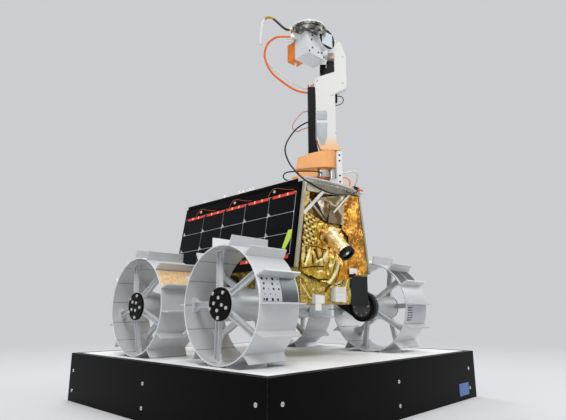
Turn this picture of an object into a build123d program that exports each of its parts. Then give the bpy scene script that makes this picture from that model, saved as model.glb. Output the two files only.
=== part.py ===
"""Small four-wheeled planetary rover on its display plinth, as separate sub-parts.

Millimetres, +Z up, front is -Y, the rover's right side is -X.
The rover is modelled from the middle of its wheelbase at axle height, and export() moves it to
the part's frame, whose origin is the middle of the plinth's underside.
"""
import os
from math import acos, cos, pi, radians, sin, sqrt, tan

from build123d import *

os.makedirs("parts", exist_ok=True)

# --- plinth ---
plinth_length_x = 676.0
plinth_length_y = 640.0
plinth_height = 102.0
plinth_board = 24.0
plinth_wall = 16.0
rover_offset_x = -28.0
rover_offset_y = -16.0

# --- wheels ---
rim_radius = 102.0
rim_wall = 2.0
rim_width = 91.0
wheelbase = 282.0
wheel_outer_x = 267.5
lug_count = 14
lug_height = 18.4
lug_thickness = 2.6
lug_end_taper = 3.0
lug_seat_gap = 0.3
trough_side_gap = 5.0
spoke_count = 5
spoke_width = 11.0
spoke_depth = 7.0
spoke_wall = 1.5
outer_spoke_root_inset = 7.5
outer_spoke_tip_inset = 24.0
inner_spoke_root_inset = 7.5
inner_spoke_tip_inset = 24.0
hub_radius = 29.0
hub_wall = 3.0
hub_end_wall = 5.0
cap_thickness = 4.0
cap_rim = 0.5
# each wheel: name, side (-1 right, +1 left), end (-1 front, +1 rear), turn of the wheel in degrees
wheel_table = [
    ("wheel_front_right", -1, -1, 0.0),
    ("wheel_rear_right", -1, 1, 225.7),
    ("wheel_front_left", 1, -1, -2.5),
    ("wheel_rear_left", 1, 1, 12.0),
]

# --- drives and rockers ---
axle_radius = 6.0
running_gap = 0.05
pin_end_gap = 0.3
wheel_side_gap = 5.0
motor_radius = 21.0
motor_flange_radius = 34.0
motor_flange_thickness = 8.0
rocker_thickness = 12.0
rocker_depth = 33.0
rocker_pivot_z = 48.0
rocker_pivot_radius = 17.0
rocker_boss_radius = 24.0
rocker_crown_half = 14.0
rocker_crown_drop = 4.0
rocker_throat_half = 24.0
rocker_throat_rise = 2.0
rocker_shoulder_z = 4.0
rocker_foot_margin = 1.0

# --- body ---
body_front_y = -184.0
body_rear_y = 209.0
body_top_z = 245.0
body_sill_z = 70.0
body_belly_z = 4.0
body_half_top = 89.0
body_half_sill = 118.0
body_half_belly = 110.0
belly_rear_y = 150.0
panel_thickness = 8.0
panel_front_y = -178.0
panel_rear_y = 216.0
rear_plate_thickness = 4.0
deck_thickness = 8.0
deck_half_width = 98.0
deck_front_bulge = 14.0
deck_lip_thickness = 3.0
deck_hole_radius = 2.1
deck_hole_spacing = 100.0
deck_hole_centre_y = 110.0
bay_depth = 42.0
frame_bar_width = 6.0
frame_depth = 6.0
left_bar_reach = 2.5
brace_radius = 2.6
foil_thickness = 6.0

# --- front instruments ---
front_camera_radius = 14.0
front_camera_length = 63.0
front_camera_ring_radius = 16.0
front_camera_ring_length = 8.0
front_camera_ring_wall = 5.0
front_camera_base = (-26.5, -190.0, 148.0)
front_camera_aim = (-0.035, -0.694, -0.719)
connector_depth = 10.0
# each box: right and left side, bottom and top
connector_table = [
    (-76.0, -54.0, 2.0, 20.0),
    (-17.0, 21.0, 8.0, 36.0),
]

# --- mast ---
# In the mast's own frame x runs along the arm's flat face, -y is the face's outward normal and
# z is measured from the axles; the middle of the mast's base is x = y = 0.
mast_x = 2.0
mast_y = -156.0
mast_turn_deg = -46.0
arm_face_y = -10.0
base_plate_radius = 26.0
base_plate_top = 258.0
base_collar_radius = 15.0
base_collar_top = 271.0
base_motor_radius = 12.5
base_motor_top = 297.0
side_gear_x = 21.5
side_gear_radius = 7.5
side_gear_bottom = 274.0
arm_thickness = 20.0
duct_thickness = 16.0
bracket_face_y = -17.0
bracket_thickness = 34.0
bracket_boss_x = 11.5
bracket_boss_radius = 18.0
bracket_top = 335.0
strap_x = 30.0
strap_width = 11.0
strap_face_y = -14.0
strap_top = 334.0
strap_depth = 22.0
strap_thickness = 2.0
strap_hole_radius = 2.2
strap_hole_heights = [264.0, 278.0, 312.0, 325.0]
neck_face_y = -6.0
neck_thickness = 16.0

# --- head ---
# The head's frame starts at its front, right, lower corner: x' across its face, y' to its back.
head_corner_x = -68.7
head_corner_y = -173.5
head_turn_deg = -6.0
head_width = 58.0
head_depth = 38.0
head_bottom_z = 545.0
head_top_z = 600.0
tilt_y = -6.0
tilt_z = 567.0
tilt_pin_radius = 4.0
tilt_boss_radius = 8.0
tilt_boss_x = (-24.0, 9.0)
tilt_block_x = 14.0
tilt_block_size = 14.0
arm_upper_x = 30.0
dome_x = 24.5
dome_y = 18.5
dome_drum_radius = 36.0
dome_drum_top = 611.5
dome_radius = 41.0
dome_top = 621.0
lens_x = 55.7
lens_z = 595.8
lens_barrel_radius = 25.5
lens_barrel_out = 10.0
lens_barrel_root = 2.0
lens_ring_radius = 24.0
lens_ring_depth = 4.0
lens_window = 33.0
lens_window_thickness = 2.0
sensor_width = 30.0
sensor_depth = 26.0
sensor_bottom_z = 549.0
sensor_top_z = 592.0

# --- cords ---
# Each route is a list of (x, y, z) points in the rover's frame, joined by arcs at every point.
camera_cord_radius = 2.0
camera_cord = [
    (-79.6, -136.4, 613), (-84.5, -131.4, 613), (-89.5, -126.2, 616.4), (-95.5, -119, 626),
    (-102, -110, 638.5), (-108.5, -101, 649.5), (-117.5, -89, 646), (-120.5, -84, 627), (-119.5, -81.5, 604),
    (-118, -77.5, 582), (-112, -77.5, 561), (-101, -82.5, 542), (-84, -92, 527), (-66, -103.5, 513.5),
    (-49, -114.5, 500), (-33, -127.2, 490), (-24, -136.5, 488),
]
sensor_cord_radius = 2.5
sensor_cord = [
    (-79.9, -136, 596), (-88.2, -127.4, 596), (-101, -112.5, 597), (-113, -94, 583), (-114.5, -85.5, 558),
    (-105, -86, 534), (-90.5, -91.5, 514.5), (-72.5, -102, 500.5), (-54, -113, 487), (-36, -124.5, 479.5),
    (-24, -136.5, 478),
]
duct_loop_radius = 1.0
duct_loop = [
    (-20.4, -133, 435.5), (-27.4, -125.8, 434), (-35.9, -121, 423), (-44.4, -117.5, 411), (-51.9, -114, 399),
    (-52.4, -115, 386.5), (-41.9, -119.5, 381.5), (-29.4, -124.5, 392), (-20.4, -133, 395),
]
deck_cord_radius = 1.75
deck_cord = [
    (-24, -136.5, 406.5), (-40, -124.5, 397), (-67, -121.5, 366), (-90, -124, 331), (-98.5, -144.5, 292.5),
    (-103.5, -171, 264.5), (-110, -199.5, 240), (-64, -211.5, 223.5), (-28, -214, 223.5),
    (12, -214.5, 230), (44, -213.5, 241), (58, -209, 249), (66, -199, 256),
]
motor_lead_radius = 1.5
motor_lead = [
    (-9.4, -161, 284), (-21.7, -166.5, 284), (-35.5, -156.1, 284.5), (-47.9, -141, 285), (-60.4, -125.5, 284.5),
    (-71.4, -111.5, 283.5), (-69.1, -99.7, 277), (-57.2, -97.8, 270.5), (-44.9, -109.2, 269.5),
    (-30.7, -123.6, 269.5), (-17.5, -135.9, 266.5), (-8.4, -145.2, 265),
]
white_lead_radius = 1.75
white_lead = [
    (28.3, -187.6, 286), (33.9, -193.4, 286), (44.5, -200.5, 291.5), (55.5, -205, 293.5), (66, -204, 286.5),
    (73, -197, 278.5), (74, -190, 271), (74, -189, 263),
]
orange_lead_radius = 1.6
orange_lead = [(27.6, -188.3, 277), (34.9, -195.8, 277), (45, -198.5, 268), (51.5, -188.4, 259), (64, -188, 258)]
arm_loop_radius = 1.0
arm_loop = [
    (24.35, -176.25, 471), (30.6, -181.3, 473), (38.2, -186.3, 474), (42.4, -189.2, 466),
    (39.7, -186.4, 457), (32, -181.3, 451.5), (24.5, -176.4, 450),
]
# each cord: node, route, radius
cord_table = [
    ("camera_cord", camera_cord, camera_cord_radius),
    ("sensor_cord", sensor_cord, sensor_cord_radius),
    ("duct_loop_cord", duct_loop, duct_loop_radius),
    ("deck_cord", deck_cord, deck_cord_radius),
    ("motor_lead", motor_lead, motor_lead_radius),
    ("white_lead", white_lead, white_lead_radius),
    ("orange_lead", orange_lead, orange_lead_radius),
    ("arm_loop_cord", arm_loop, arm_loop_radius),
]
# the block at the deck's front corner that three of the cords go to
deck_plug_block = (64.0, 84.0, -194.0, -180.0, 253.0, 263.0)
deck_plug_radius = 3.5
deck_plug_length = 10.0
camera_plug_radius = 4.0
camera_plug_length = 12.0
sensor_plug_size = 9.0
sensor_plug_length = 23.0
plug_gap = 0.3

axle_height = plinth_height + rim_radius
lug_tip_radius = rim_radius + lug_height
wheel_inner_x = wheel_outer_x - rim_width
rocker_outer_x = wheel_inner_x - wheel_side_gap - motor_flange_thickness
rocker_inner_x = rocker_outer_x - rocker_thickness
deck_top_z = body_top_z + deck_thickness
to_part = Location((rover_offset_x, rover_offset_y, axle_height))
to_mast = Location((mast_x, mast_y, 0), (0, 0, mast_turn_deg))
along_tilt_axis = (cos(radians(mast_turn_deg)), sin(radians(mast_turn_deg)), 0.0)
to_head = Location((head_corner_x, head_corner_y, 0), (0, 0, head_turn_deg))


def export(name, shapes, place=to_part):
    """Write one node: a solid, or a list of solids, each moved by place."""
    shapes = shapes if isinstance(shapes, list) else [shapes]
    placed = [place * solid for shape in shapes for solid in shape.solids()]
    node = placed[0] if len(placed) == 1 else Compound(children=placed)
    node.label = name
    export_step(node, f"parts/{name}.step")


def block(x0, x1, y0, y1, z0, z1):
    size = (x1 - x0, y1 - y0, z1 - z0)
    middle = ((x0 + x1) / 2, (y0 + y1) / 2, (z0 + z1) / 2)
    return Pos(*middle) * Box(*size)


def x_cylinder(radius, x0, x1, y=0.0, z=0.0):
    return Pos((x0 + x1) / 2, y, z) * Rot(0, 90, 0) * Cylinder(radius, abs(x1 - x0))


def z_cylinder(radius, z0, z1, x=0.0, y=0.0):
    return Pos(x, y, (z0 + z1) / 2) * Cylinder(radius, z1 - z0)


def rod(start, end, radius):
    """A round bar between two points."""
    a, b = Vector(*start), Vector(*end)
    plane = Plane(origin=a, z_dir=b - a)
    return extrude(plane * Circle(radius), (b - a).length)


def plate_xz(points, y0, y1):
    """A plate whose outline is given as (x, z) points, between two y planes."""
    outline = make_face(Polyline(*[(x, y0, z) for x, z in points], close=True))
    return extrude(outline, y1 - y0, dir=(0, 1, 0))


def plate_yz(points, x0, x1):
    """A plate whose outline is given as (y, z) points, between two x planes."""
    outline = make_face(Polyline(*[(x0, y, z) for y, z in points], close=True))
    return extrude(outline, x1 - x0, dir=(1, 0, 0))


# ---------------------------------------------------------------- plinth
def plinth_top():
    """The white board that lies between the sides, with a shallow trough under each wheel's lugs."""
    x, y = plinth_length_x / 2 - plinth_wall, plinth_length_y / 2 - plinth_wall
    board = block(-x, x, -y, y, plinth_height - plinth_board, plinth_height)
    trough_radius = lug_tip_radius + lug_seat_gap
    for _, side, end, _ in wheel_table:
        inner = side * (wheel_inner_x - trough_side_gap)
        outer = side * (wheel_outer_x + trough_side_gap)
        trough = x_cylinder(trough_radius, min(inner, outer), max(inner, outer), end * wheelbase / 2)
        board -= to_part * trough
    return board


def plinth_sides():
    """Two long boards front and rear, and two short ones between them."""
    x, y, w = plinth_length_x / 2, plinth_length_y / 2, plinth_wall
    boards = []
    for side in (-1, 1):
        front = sorted((side * y, side * (y - w)))
        end = sorted((side * x, side * (x - w)))
        boards.append(block(-x, x, *front, 0, plinth_height))
        boards.append(block(*end, w - y, y - w, 0, plinth_height))
    return boards


# ---------------------------------------------------------------- wheels
# A wheel is modelled for the right side: its outer face is x = 0, +x runs towards the rover,
# and an angle of 0 points forward (-Y) and 90 points up.
def spun(shape, angle_deg):
    return Rot(-angle_deg, 0, 0) * shape


def wheel_rim():
    shell = x_cylinder(rim_radius, 0, rim_width) - x_cylinder(rim_radius - rim_wall, -1, rim_width + 1)
    root = rim_radius - rim_wall / 2
    outline = [
        (0, root), (rim_width, root), (rim_width, rim_radius),
        (rim_width - lug_end_taper, lug_tip_radius), (lug_end_taper, lug_tip_radius), (0, rim_radius),
    ]
    # the blade lies in the plane of the axle, and points forward
    face = make_face(Polyline(*[(x, -r, -lug_thickness / 2) for x, r in outline], close=True))
    blade = extrude(face, lug_thickness, dir=(0, 0, 1))
    lugs = [spun(blade, i * 360 / lug_count) for i in range(lug_count)]
    return shell + lugs


def channel_spoke(root_x, tip_x, opens):
    """A U channel from the hub to the rim, pointing forward, its open side towards opens * x."""
    root_r = hub_radius - hub_wall / 2
    tip_r = rim_radius
    run = Vector(tip_x - root_x, -(tip_r - root_r), 0)
    plane = Plane(origin=(root_x, -root_r, 0), x_dir=(0, 0, 1), z_dir=run)
    across = plane.y_dir.X * opens
    side = 1 if across > 0 else -1
    web = Pos(0, -side * (spoke_depth - spoke_wall) / 2) * Rectangle(spoke_width, spoke_wall)
    flange_x = (spoke_width - spoke_wall) / 2
    profile = web
    for edge in (-1, 1):
        profile += Pos(edge * flange_x, 0) * Rectangle(spoke_wall, spoke_depth)
    return extrude(plane * profile, run.length)


def wheel_spider():
    """The hub drum with both sets of channel spokes."""
    drum = x_cylinder(hub_radius, cap_thickness, rim_width)
    drum -= x_cylinder(hub_radius - hub_wall, cap_thickness + hub_end_wall, rim_width + 1)
    inside_rim = x_cylinder(rim_radius - rim_wall, 0, rim_width)
    hollow = x_cylinder(hub_radius - hub_wall / 2, -1, rim_width + 1)
    outer = channel_spoke(outer_spoke_root_inset, outer_spoke_tip_inset, -1)
    inner = channel_spoke(rim_width - inner_spoke_root_inset, rim_width - inner_spoke_tip_inset, 1)
    outer = (outer & inside_rim) - hollow
    inner = (inner & inside_rim) - hollow
    step = 360 / spoke_count
    spider = drum
    for i in range(spoke_count):
        spider += spun(outer, 180 + i * step)
        spider += spun(inner, 180 + (i + 0.5) * step)
    bore = x_cylinder(axle_radius + running_gap, cap_thickness - 1, cap_thickness + hub_end_wall + 1)
    return spider - bore


def wheel_cap():
    return x_cylinder(hub_radius - cap_rim, 0, cap_thickness)


def placed_wheel(shape, side, end, turn):
    shape = Pos(-wheel_outer_x, 0, 0) * spun(shape, turn)
    if side > 0:
        shape = Rot(0, 0, 180) * shape
    return Pos(0, end * wheelbase / 2, 0) * shape


# ---------------------------------------------------------------- drives and rockers
def on_each_side(shape):
    """The right side's shape, and the same turned round for the left."""
    return [shape, mirror(shape, about=Plane.YZ)]


def motor_solids():
    motor_start = wheel_outer_x - cap_thickness - hub_end_wall - wheel_side_gap
    flange_start = wheel_inner_x - wheel_side_gap
    solids = []
    for end in (-1, 1):
        y = end * wheelbase / 2
        can = x_cylinder(motor_radius, -motor_start, -flange_start, y)
        flange = x_cylinder(motor_flange_radius, -flange_start, -rocker_outer_x, y)
        solids += on_each_side(can + flange)
    return solids


def axle_solids():
    axle_end = wheel_outer_x - cap_thickness - pin_end_gap
    motor_start = wheel_outer_x - cap_thickness - hub_end_wall - wheel_side_gap
    solids = []
    for end in (-1, 1):
        solids += on_each_side(x_cylinder(axle_radius, -axle_end, -motor_start, end * wheelbase / 2))
    return solids


def rocker(side):
    """An arched arm from the front drive over the pivot to the rear drive."""
    axle_y = wheelbase / 2
    r = motor_flange_radius - rocker_foot_margin
    top = rocker_pivot_z + rocker_depth / 2
    low = rocker_pivot_z - rocker_depth / 2
    half = [(0, top), (-rocker_crown_half, top - rocker_crown_drop), (-axle_y + 0.9 * r, rocker_shoulder_z),
            (-axle_y - 0.5 * r, -0.6 * r), (-axle_y + 0.35 * r, -0.93 * r), (-rocker_throat_half, low),
            (0, low + rocker_throat_rise)]
    rear = [(-y, z) for y, z in reversed(half[1:-1])]
    x0, x1 = rocker_inner_x, rocker_outer_x
    arm = plate_yz(half + rear, -x1, -x0)
    for end in (-1, 1):
        arm += x_cylinder(r, -x1, -x0, end * axle_y)
    arm += x_cylinder(rocker_boss_radius, -x1, -x0, 0, rocker_pivot_z)
    arm -= x_cylinder(rocker_pivot_radius, -x1 - 1, -x0 + 1, 0, rocker_pivot_z)
    return arm if side < 0 else mirror(arm, about=Plane.YZ)


def half_width_at(z):
    """Half the width of the body's core at height z."""
    if z >= body_sill_z:
        share = (body_top_z - z) / (body_top_z - body_sill_z)
        return body_half_top + share * (body_half_sill - body_half_top)
    share = (body_sill_z - z) / (body_sill_z - body_belly_z)
    return body_half_sill + share * (body_half_belly - body_half_sill)


def pivot_solids():
    """The rockers' pivot pins, from the side of the belly through each arm."""
    start = body_half_belly
    pin = x_cylinder(rocker_pivot_radius, -rocker_outer_x, -start, 0, rocker_pivot_z)
    core = body_core()
    return [p - core for p in on_each_side(pin)]


# ---------------------------------------------------------------- body
bay_outline = [(-76, 238), (72, 238), (44, 205), (6, 172), (-30, 168), (-84, 182)]


def body_core():
    upper = plate_xz(
        [(-half_width_at(body_top_z), body_top_z), (half_width_at(body_top_z), body_top_z),
         (body_half_sill, body_sill_z), (-body_half_sill, body_sill_z)],
        body_front_y, body_rear_y,
    )
    lower = plate_xz(
        [(-body_half_sill, body_sill_z), (body_half_sill, body_sill_z),
         (body_half_belly, body_belly_z), (-body_half_belly, body_belly_z)],
        body_front_y, belly_rear_y,
    )
    bay = plate_xz(bay_outline, body_front_y - 1, body_front_y + bay_depth)
    return upper + lower - bay


def side_panel(side):
    """A solar panel on the body's sloping side."""
    slope = (body_half_sill - body_half_top) / (body_top_z - body_sill_z)
    lean = sqrt(1 + slope * slope)
    t = panel_thickness * lean
    points = [(-body_half_top, body_top_z), (-body_half_sill, body_sill_z),
              (-body_half_sill - t, body_sill_z), (-body_half_top - t, body_top_z)]
    panel = plate_xz(points, panel_front_y, panel_rear_y)
    return panel if side < 0 else mirror(panel, about=Plane.YZ)


def rear_plate():
    return plate_xz(
        [(-body_half_top, body_top_z), (body_half_top, body_top_z),
         (body_half_sill, body_sill_z), (-body_half_sill, body_sill_z)],
        body_rear_y, body_rear_y + rear_plate_thickness,
    )


def deck():
    """The top plate, its front edge a thin lip that bows forward of the frame."""
    front = body_front_y - frame_depth
    w, rear = deck_half_width, body_rear_y
    plate = block(-w, w, front, rear, body_top_z, deck_top_z)
    bow = ThreePointArc((w, front, 0), (0, front - deck_front_bulge, 0), (-w, front, 0))
    lip = make_face(bow + Line((-w, front, 0), (w, front, 0)))
    plate += Pos(0, 0, deck_top_z - deck_lip_thickness) * extrude(lip, deck_lip_thickness, dir=(0, 0, 1))
    half = deck_hole_spacing / 2
    for x in (-half, half):
        for y in (deck_hole_centre_y - half, deck_hole_centre_y + half):
            plate -= z_cylinder(deck_hole_radius, body_top_z - 1, deck_top_z + 1, x, y)
    return plate


def front_frame():
    """Angle bars along the two sloping edges of the front; the right one covers the panel's end."""
    y0, y1 = body_front_y - frame_depth, body_front_y
    slope = (body_half_sill - body_half_top) / (body_top_z - body_sill_z)
    panel_reach = panel_thickness * sqrt(1 + slope * slope)
    bars = []
    for side, reach in ((-1, panel_reach), (1, left_bar_reach)):
        top, sill = side * (body_half_top + reach), side * (body_half_sill + reach)
        width = side * frame_bar_width
        bars.append(plate_xz([(top, body_top_z), (sill, body_sill_z), (sill - width, body_sill_z),
                              (top - width, body_top_z)], y0, y1))
    return bars


# each brace: its two ends as (x, z) on the front of the bay
brace_table = [
    ((-73, 234), (-80, 185)),
    ((-27, 234), (-76, 189)),
    ((-74, 212), (-22, 175)),
    ((64, 233), (18, 190)),
]


def brace_solids():
    y = body_front_y + 6
    solids = []
    for (x0, z0), (x1, z1) in brace_table:
        solids.append(rod((x0, y, z0), (x1, y, z1), brace_radius))
    return solids


# ---------------------------------------------------------------- front of the body
# the edges that lie along the body's sloping sides are set in from them; the rest is typed as (x, z)
foil_inner_edge = [(52, 58), (43, 110), (18, 160), (-24, 164)]
foil_side_heights = (180.0, 58.0)
foil_edge_inset = 3.0
wing_inner_edge = [(55, 60), (45, 147), (24, 214)]
wing_side_heights = (242.0, 76.0)
wing_edge_inset = 5.5


def front_foil():
    side = [(-half_width_at(z) + foil_edge_inset, z) for z in foil_side_heights]
    return plate_xz(foil_inner_edge + side, body_front_y - foil_thickness, body_front_y)


def foil_wing():
    side = [(half_width_at(z) - wing_edge_inset, z) for z in wing_side_heights]
    return plate_xz(wing_inner_edge + side, body_front_y - foil_thickness, body_front_y)


def front_camera():
    aim = Vector(*front_camera_aim).normalized()
    start = Vector(*front_camera_base)
    tube = extrude(Plane(origin=start, z_dir=aim) * Circle(front_camera_radius), front_camera_length)
    body_half = body_half_sill
    behind = block(-body_half, body_half, body_front_y - foil_thickness, 0, body_belly_z, body_top_z)
    return tube - behind


def front_camera_ring():
    aim = Vector(*front_camera_aim).normalized()
    end = Vector(*front_camera_base) + aim * front_camera_length
    face = Plane(origin=end, z_dir=aim)
    ring = extrude(face * Circle(front_camera_ring_radius), front_camera_ring_length)
    eye = Plane(origin=end + aim * (front_camera_ring_length / 2), z_dir=aim)
    eye_radius = front_camera_ring_radius - front_camera_ring_wall
    return ring - extrude(eye * Circle(eye_radius), front_camera_ring_length)


def connector_solids():
    y0 = body_front_y - connector_depth
    return [block(x0, x1, y0, body_front_y, z0, z1) for x0, x1, z0, z1 in connector_table]


# ---------------------------------------------------------------- mast
arm_outline = [
    (-5, 339), (-13, 364), (-15, 513), (30, 528), (30, 610), (47, 603), (58, 566), (57, 488),
    (30, 473), (31, 357), (39, 338),
]
duct_outline = [(-15.3, 490), (-32, 490), (-32, 326), (-10, 334), (-15.3, 364)]
bracket_outline = [(-56, 318), (-34, 327), (-1, 335), (11, 335), (11, 297), (-6, 297), (-61, 292)]
bracket_foot_outline = [(-60, 293), (-13, 297), (-13, 276), (-52, 276)]
neck_outline = [(-3, 510), (29.7, 510), (29.7, 556), (12.5, 556), (12.5, 540), (-3, 540)]


def mast_plate(points, face_y, thickness):
    """A plate upright in the mast's frame, its outer face at face_y."""
    return plate_xz(points, face_y, face_y + thickness)


def mast_base():
    plate = z_cylinder(base_plate_radius, deck_top_z, base_plate_top)
    return plate + z_cylinder(base_collar_radius, base_plate_top, base_collar_top)


def mast_motors():
    can = z_cylinder(base_motor_radius, base_collar_top, base_motor_top)
    gear = z_cylinder(side_gear_radius, side_gear_bottom, base_motor_top, side_gear_x)
    return [can, gear]


def mast_arm():
    return mast_plate(arm_outline, arm_face_y, arm_thickness)


def mast_duct():
    return mast_plate(duct_outline, arm_face_y, duct_thickness)


def bracket_boss():
    return z_cylinder(bracket_boss_radius, base_motor_top, bracket_top, bracket_boss_x)


def mast_bracket():
    body = mast_plate(bracket_outline, bracket_face_y, bracket_thickness) + bracket_boss()
    foot = mast_plate(bracket_foot_outline, bracket_face_y + 4, bracket_thickness - 8)
    can = z_cylinder(base_motor_radius, base_collar_top - 1, base_motor_top)
    return body + foot - can - mast_arm() - mast_duct()


def mast_strap():
    """The perforated angle strip down the bracket's side."""
    x0, x1 = strap_x, strap_x + strap_width
    y0, y1 = strap_face_y, strap_face_y + strap_depth
    strip = block(x0, x1, y0, y0 + strap_thickness, deck_top_z, strap_top)
    strip += block(x1 - strap_thickness, x1, y0, y1, deck_top_z, strap_top)
    for z in strap_hole_heights:
        strip -= Pos(x0 + strap_width / 2, y0, z) * Rot(90, 0, 0) * Cylinder(strap_hole_radius, 8)
    return strip - bracket_boss()


def mast_neck():
    return mast_plate(neck_outline, neck_face_y, neck_thickness) - mast_arm()


def tilt_block():
    half = tilt_block_size / 2
    solid = block(tilt_block_x, arm_upper_x, tilt_y - half, tilt_y + half, tilt_z - half, tilt_z + half)
    bore = x_cylinder(tilt_pin_radius + running_gap, tilt_block_x - 1, arm_upper_x + 1, tilt_y, tilt_z)
    return solid - bore


def tilt_pin():
    boss = x_cylinder(tilt_boss_radius, *tilt_boss_x, tilt_y, tilt_z)
    return boss + x_cylinder(tilt_pin_radius, tilt_boss_x[1] - 1, arm_upper_x - pin_end_gap, tilt_y, tilt_z)


# ---------------------------------------------------------------- head
def facing(radius, y0, y1, x=lens_x, z=lens_z):
    """A cylinder along the head's own y axis."""
    return extrude(Plane(origin=(x, y0, z), z_dir=(0, 1, 0)) * Circle(radius), y1 - y0)


def head_box():
    box = block(0, head_width, 0, head_depth, head_bottom_z, head_top_z)
    barrel = facing(lens_barrel_radius, -lens_barrel_out, lens_barrel_root)
    recess = facing(lens_ring_radius, -lens_barrel_out, lens_ring_depth - lens_barrel_out)
    return to_head * (box + barrel - recess) + to_mast * tilt_pin()


def lens_pane():
    half = lens_window / 2
    y0 = -lens_barrel_out
    return block(lens_x - half, lens_x + half, y0, y0 + lens_window_thickness, lens_z - half, lens_z + half)


def lens_ring():
    ring = facing(lens_ring_radius, -lens_barrel_out, lens_ring_depth - lens_barrel_out)
    return ring - lens_pane()


def head_dome():
    drum = z_cylinder(dome_drum_radius, head_top_z, dome_drum_top, dome_x, dome_y)
    lid = z_cylinder(dome_radius, dome_drum_top, dome_top, dome_x, dome_y)
    barrel = facing(lens_barrel_radius, -lens_barrel_out - 1, lens_barrel_root)
    return drum + lid - barrel


def head_sensor():
    return block(0, sensor_width, head_depth, head_depth + sensor_depth, sensor_bottom_z, sensor_top_z)


def camera_plug():
    """The round plug under the dome's rim, where the camera cord starts."""
    across = Vector(*along_tilt_axis)
    start = Vector(*camera_cord[0]) + across * plug_gap
    plug = extrude(Plane(origin=start, z_dir=across) * Circle(camera_plug_radius), camera_plug_length)
    return plug - to_head * head_dome()


def sensor_plug():
    """The square plug on the head's right side, where the sensor cord starts."""
    across = Vector(*along_tilt_axis)
    start = Vector(*sensor_cord[0]) + across * plug_gap
    face = Plane(origin=start, x_dir=(0, 0, 1), z_dir=across) * Rectangle(sensor_plug_size, sensor_plug_size)
    plug = extrude(face, sensor_plug_length)
    return plug - to_head * (head_dome() + block(0, head_width, 0, head_depth, head_bottom_z, head_top_z)
                             + head_sensor())


# ---------------------------------------------------------------- cords
def deck_plug():
    """The connector block on the deck with the round plug that the deck cord ends in."""
    end = Vector(*deck_cord[-1])
    along = (end - Vector(*deck_cord[-2])).normalized()
    plug = extrude(Plane(origin=end, z_dir=along) * Circle(deck_plug_radius), deck_plug_length)
    return block(*deck_plug_block) + plug


def bend_radii(points):
    """Each bend is as large as its two runs allow."""
    vectors = [Vector(*p) for p in points]
    runs = [b - a for a, b in zip(vectors, vectors[1:])]
    radii = []
    for before, after in zip(runs, runs[1:]):
        half_turn = acos(before.normalized().dot(after.normalized())) / 2
        radii.append(0.45 * min(before.length, after.length) / tan(half_turn))
    return radii


def cord_tube(name, points, radius):
    radii = bend_radii(points)
    route = FilletPolyline(*points, radius=radii)
    start = Vector(*points[1]) - Vector(*points[0])
    section = Plane(origin=points[0], z_dir=start) * Circle(radius)
    tube = sweep(section, path=route)
    drawn = tube.volume / (pi * radius * radius * route.length)
    print(name, "length", round(route.length, 1), "volume over section times length", round(drawn, 4))
    print("  bend radii", [round(r, 1) for r in radii])
    return tube


# ---------------------------------------------------------------- build
def main():
    export("plinth_top_board", plinth_top(), place=Location())
    export("plinth_side_panels", plinth_sides(), place=Location())
    rim, spider, cap = wheel_rim(), wheel_spider(), wheel_cap()
    for name, side, end, turn in wheel_table:
        export(f"{name}_rim", placed_wheel(rim, side, end, turn))
        export(f"{name}_spokes", placed_wheel(spider, side, end, turn))
        export(f"{name}_cap", placed_wheel(cap, side, end, turn))
    export("wheel_motors", motor_solids())
    export("wheel_axles", axle_solids())
    export("rocker_right", rocker(-1))
    export("rocker_left", rocker(1))
    export("rocker_pivots", pivot_solids())
    export("body_core", body_core())
    export("solar_panel_right", side_panel(-1))
    export("solar_panel_left", side_panel(1))
    export("rear_plate", rear_plate())
    export("top_deck", deck())
    export("front_frame", front_frame())
    export("front_braces", brace_solids())
    export("front_foil", front_foil())
    export("foil_wing_panel", foil_wing())
    export("front_camera_tube", front_camera())
    export("front_camera_ring", front_camera_ring())
    export("connector_boxes", connector_solids())
    export("mast_base", mast_base(), place=to_part * to_mast)
    export("mast_base_motors", mast_motors(), place=to_part * to_mast)
    export("mast_bracket", mast_bracket(), place=to_part * to_mast)
    export("mast_arm", mast_arm(), place=to_part * to_mast)
    export("mast_duct", mast_duct(), place=to_part * to_mast)
    export("mast_strap", mast_strap(), place=to_part * to_mast)
    export("mast_neck", mast_neck(), place=to_part * to_mast)
    export("mast_tilt_block", tilt_block(), place=to_part * to_mast)
    export("head_housing", head_box())
    export("head_lens_ring", lens_ring(), place=to_part * to_head)
    export("head_lens_window", lens_pane(), place=to_part * to_head)
    export("head_dome", head_dome(), place=to_part * to_head)
    export("head_sensor_block", head_sensor(), place=to_part * to_head)
    export("head_camera_plug", camera_plug())
    export("head_sensor_plug", sensor_plug())
    export("deck_plug", deck_plug())
    for name, points, radius in cord_table:
        export(name, cord_tube(name, points, radius))


main()
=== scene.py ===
import bpy
import bmesh
from math import radians, pi, sin, cos, sqrt
from mathutils import Matrix, Vector, noise


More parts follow.
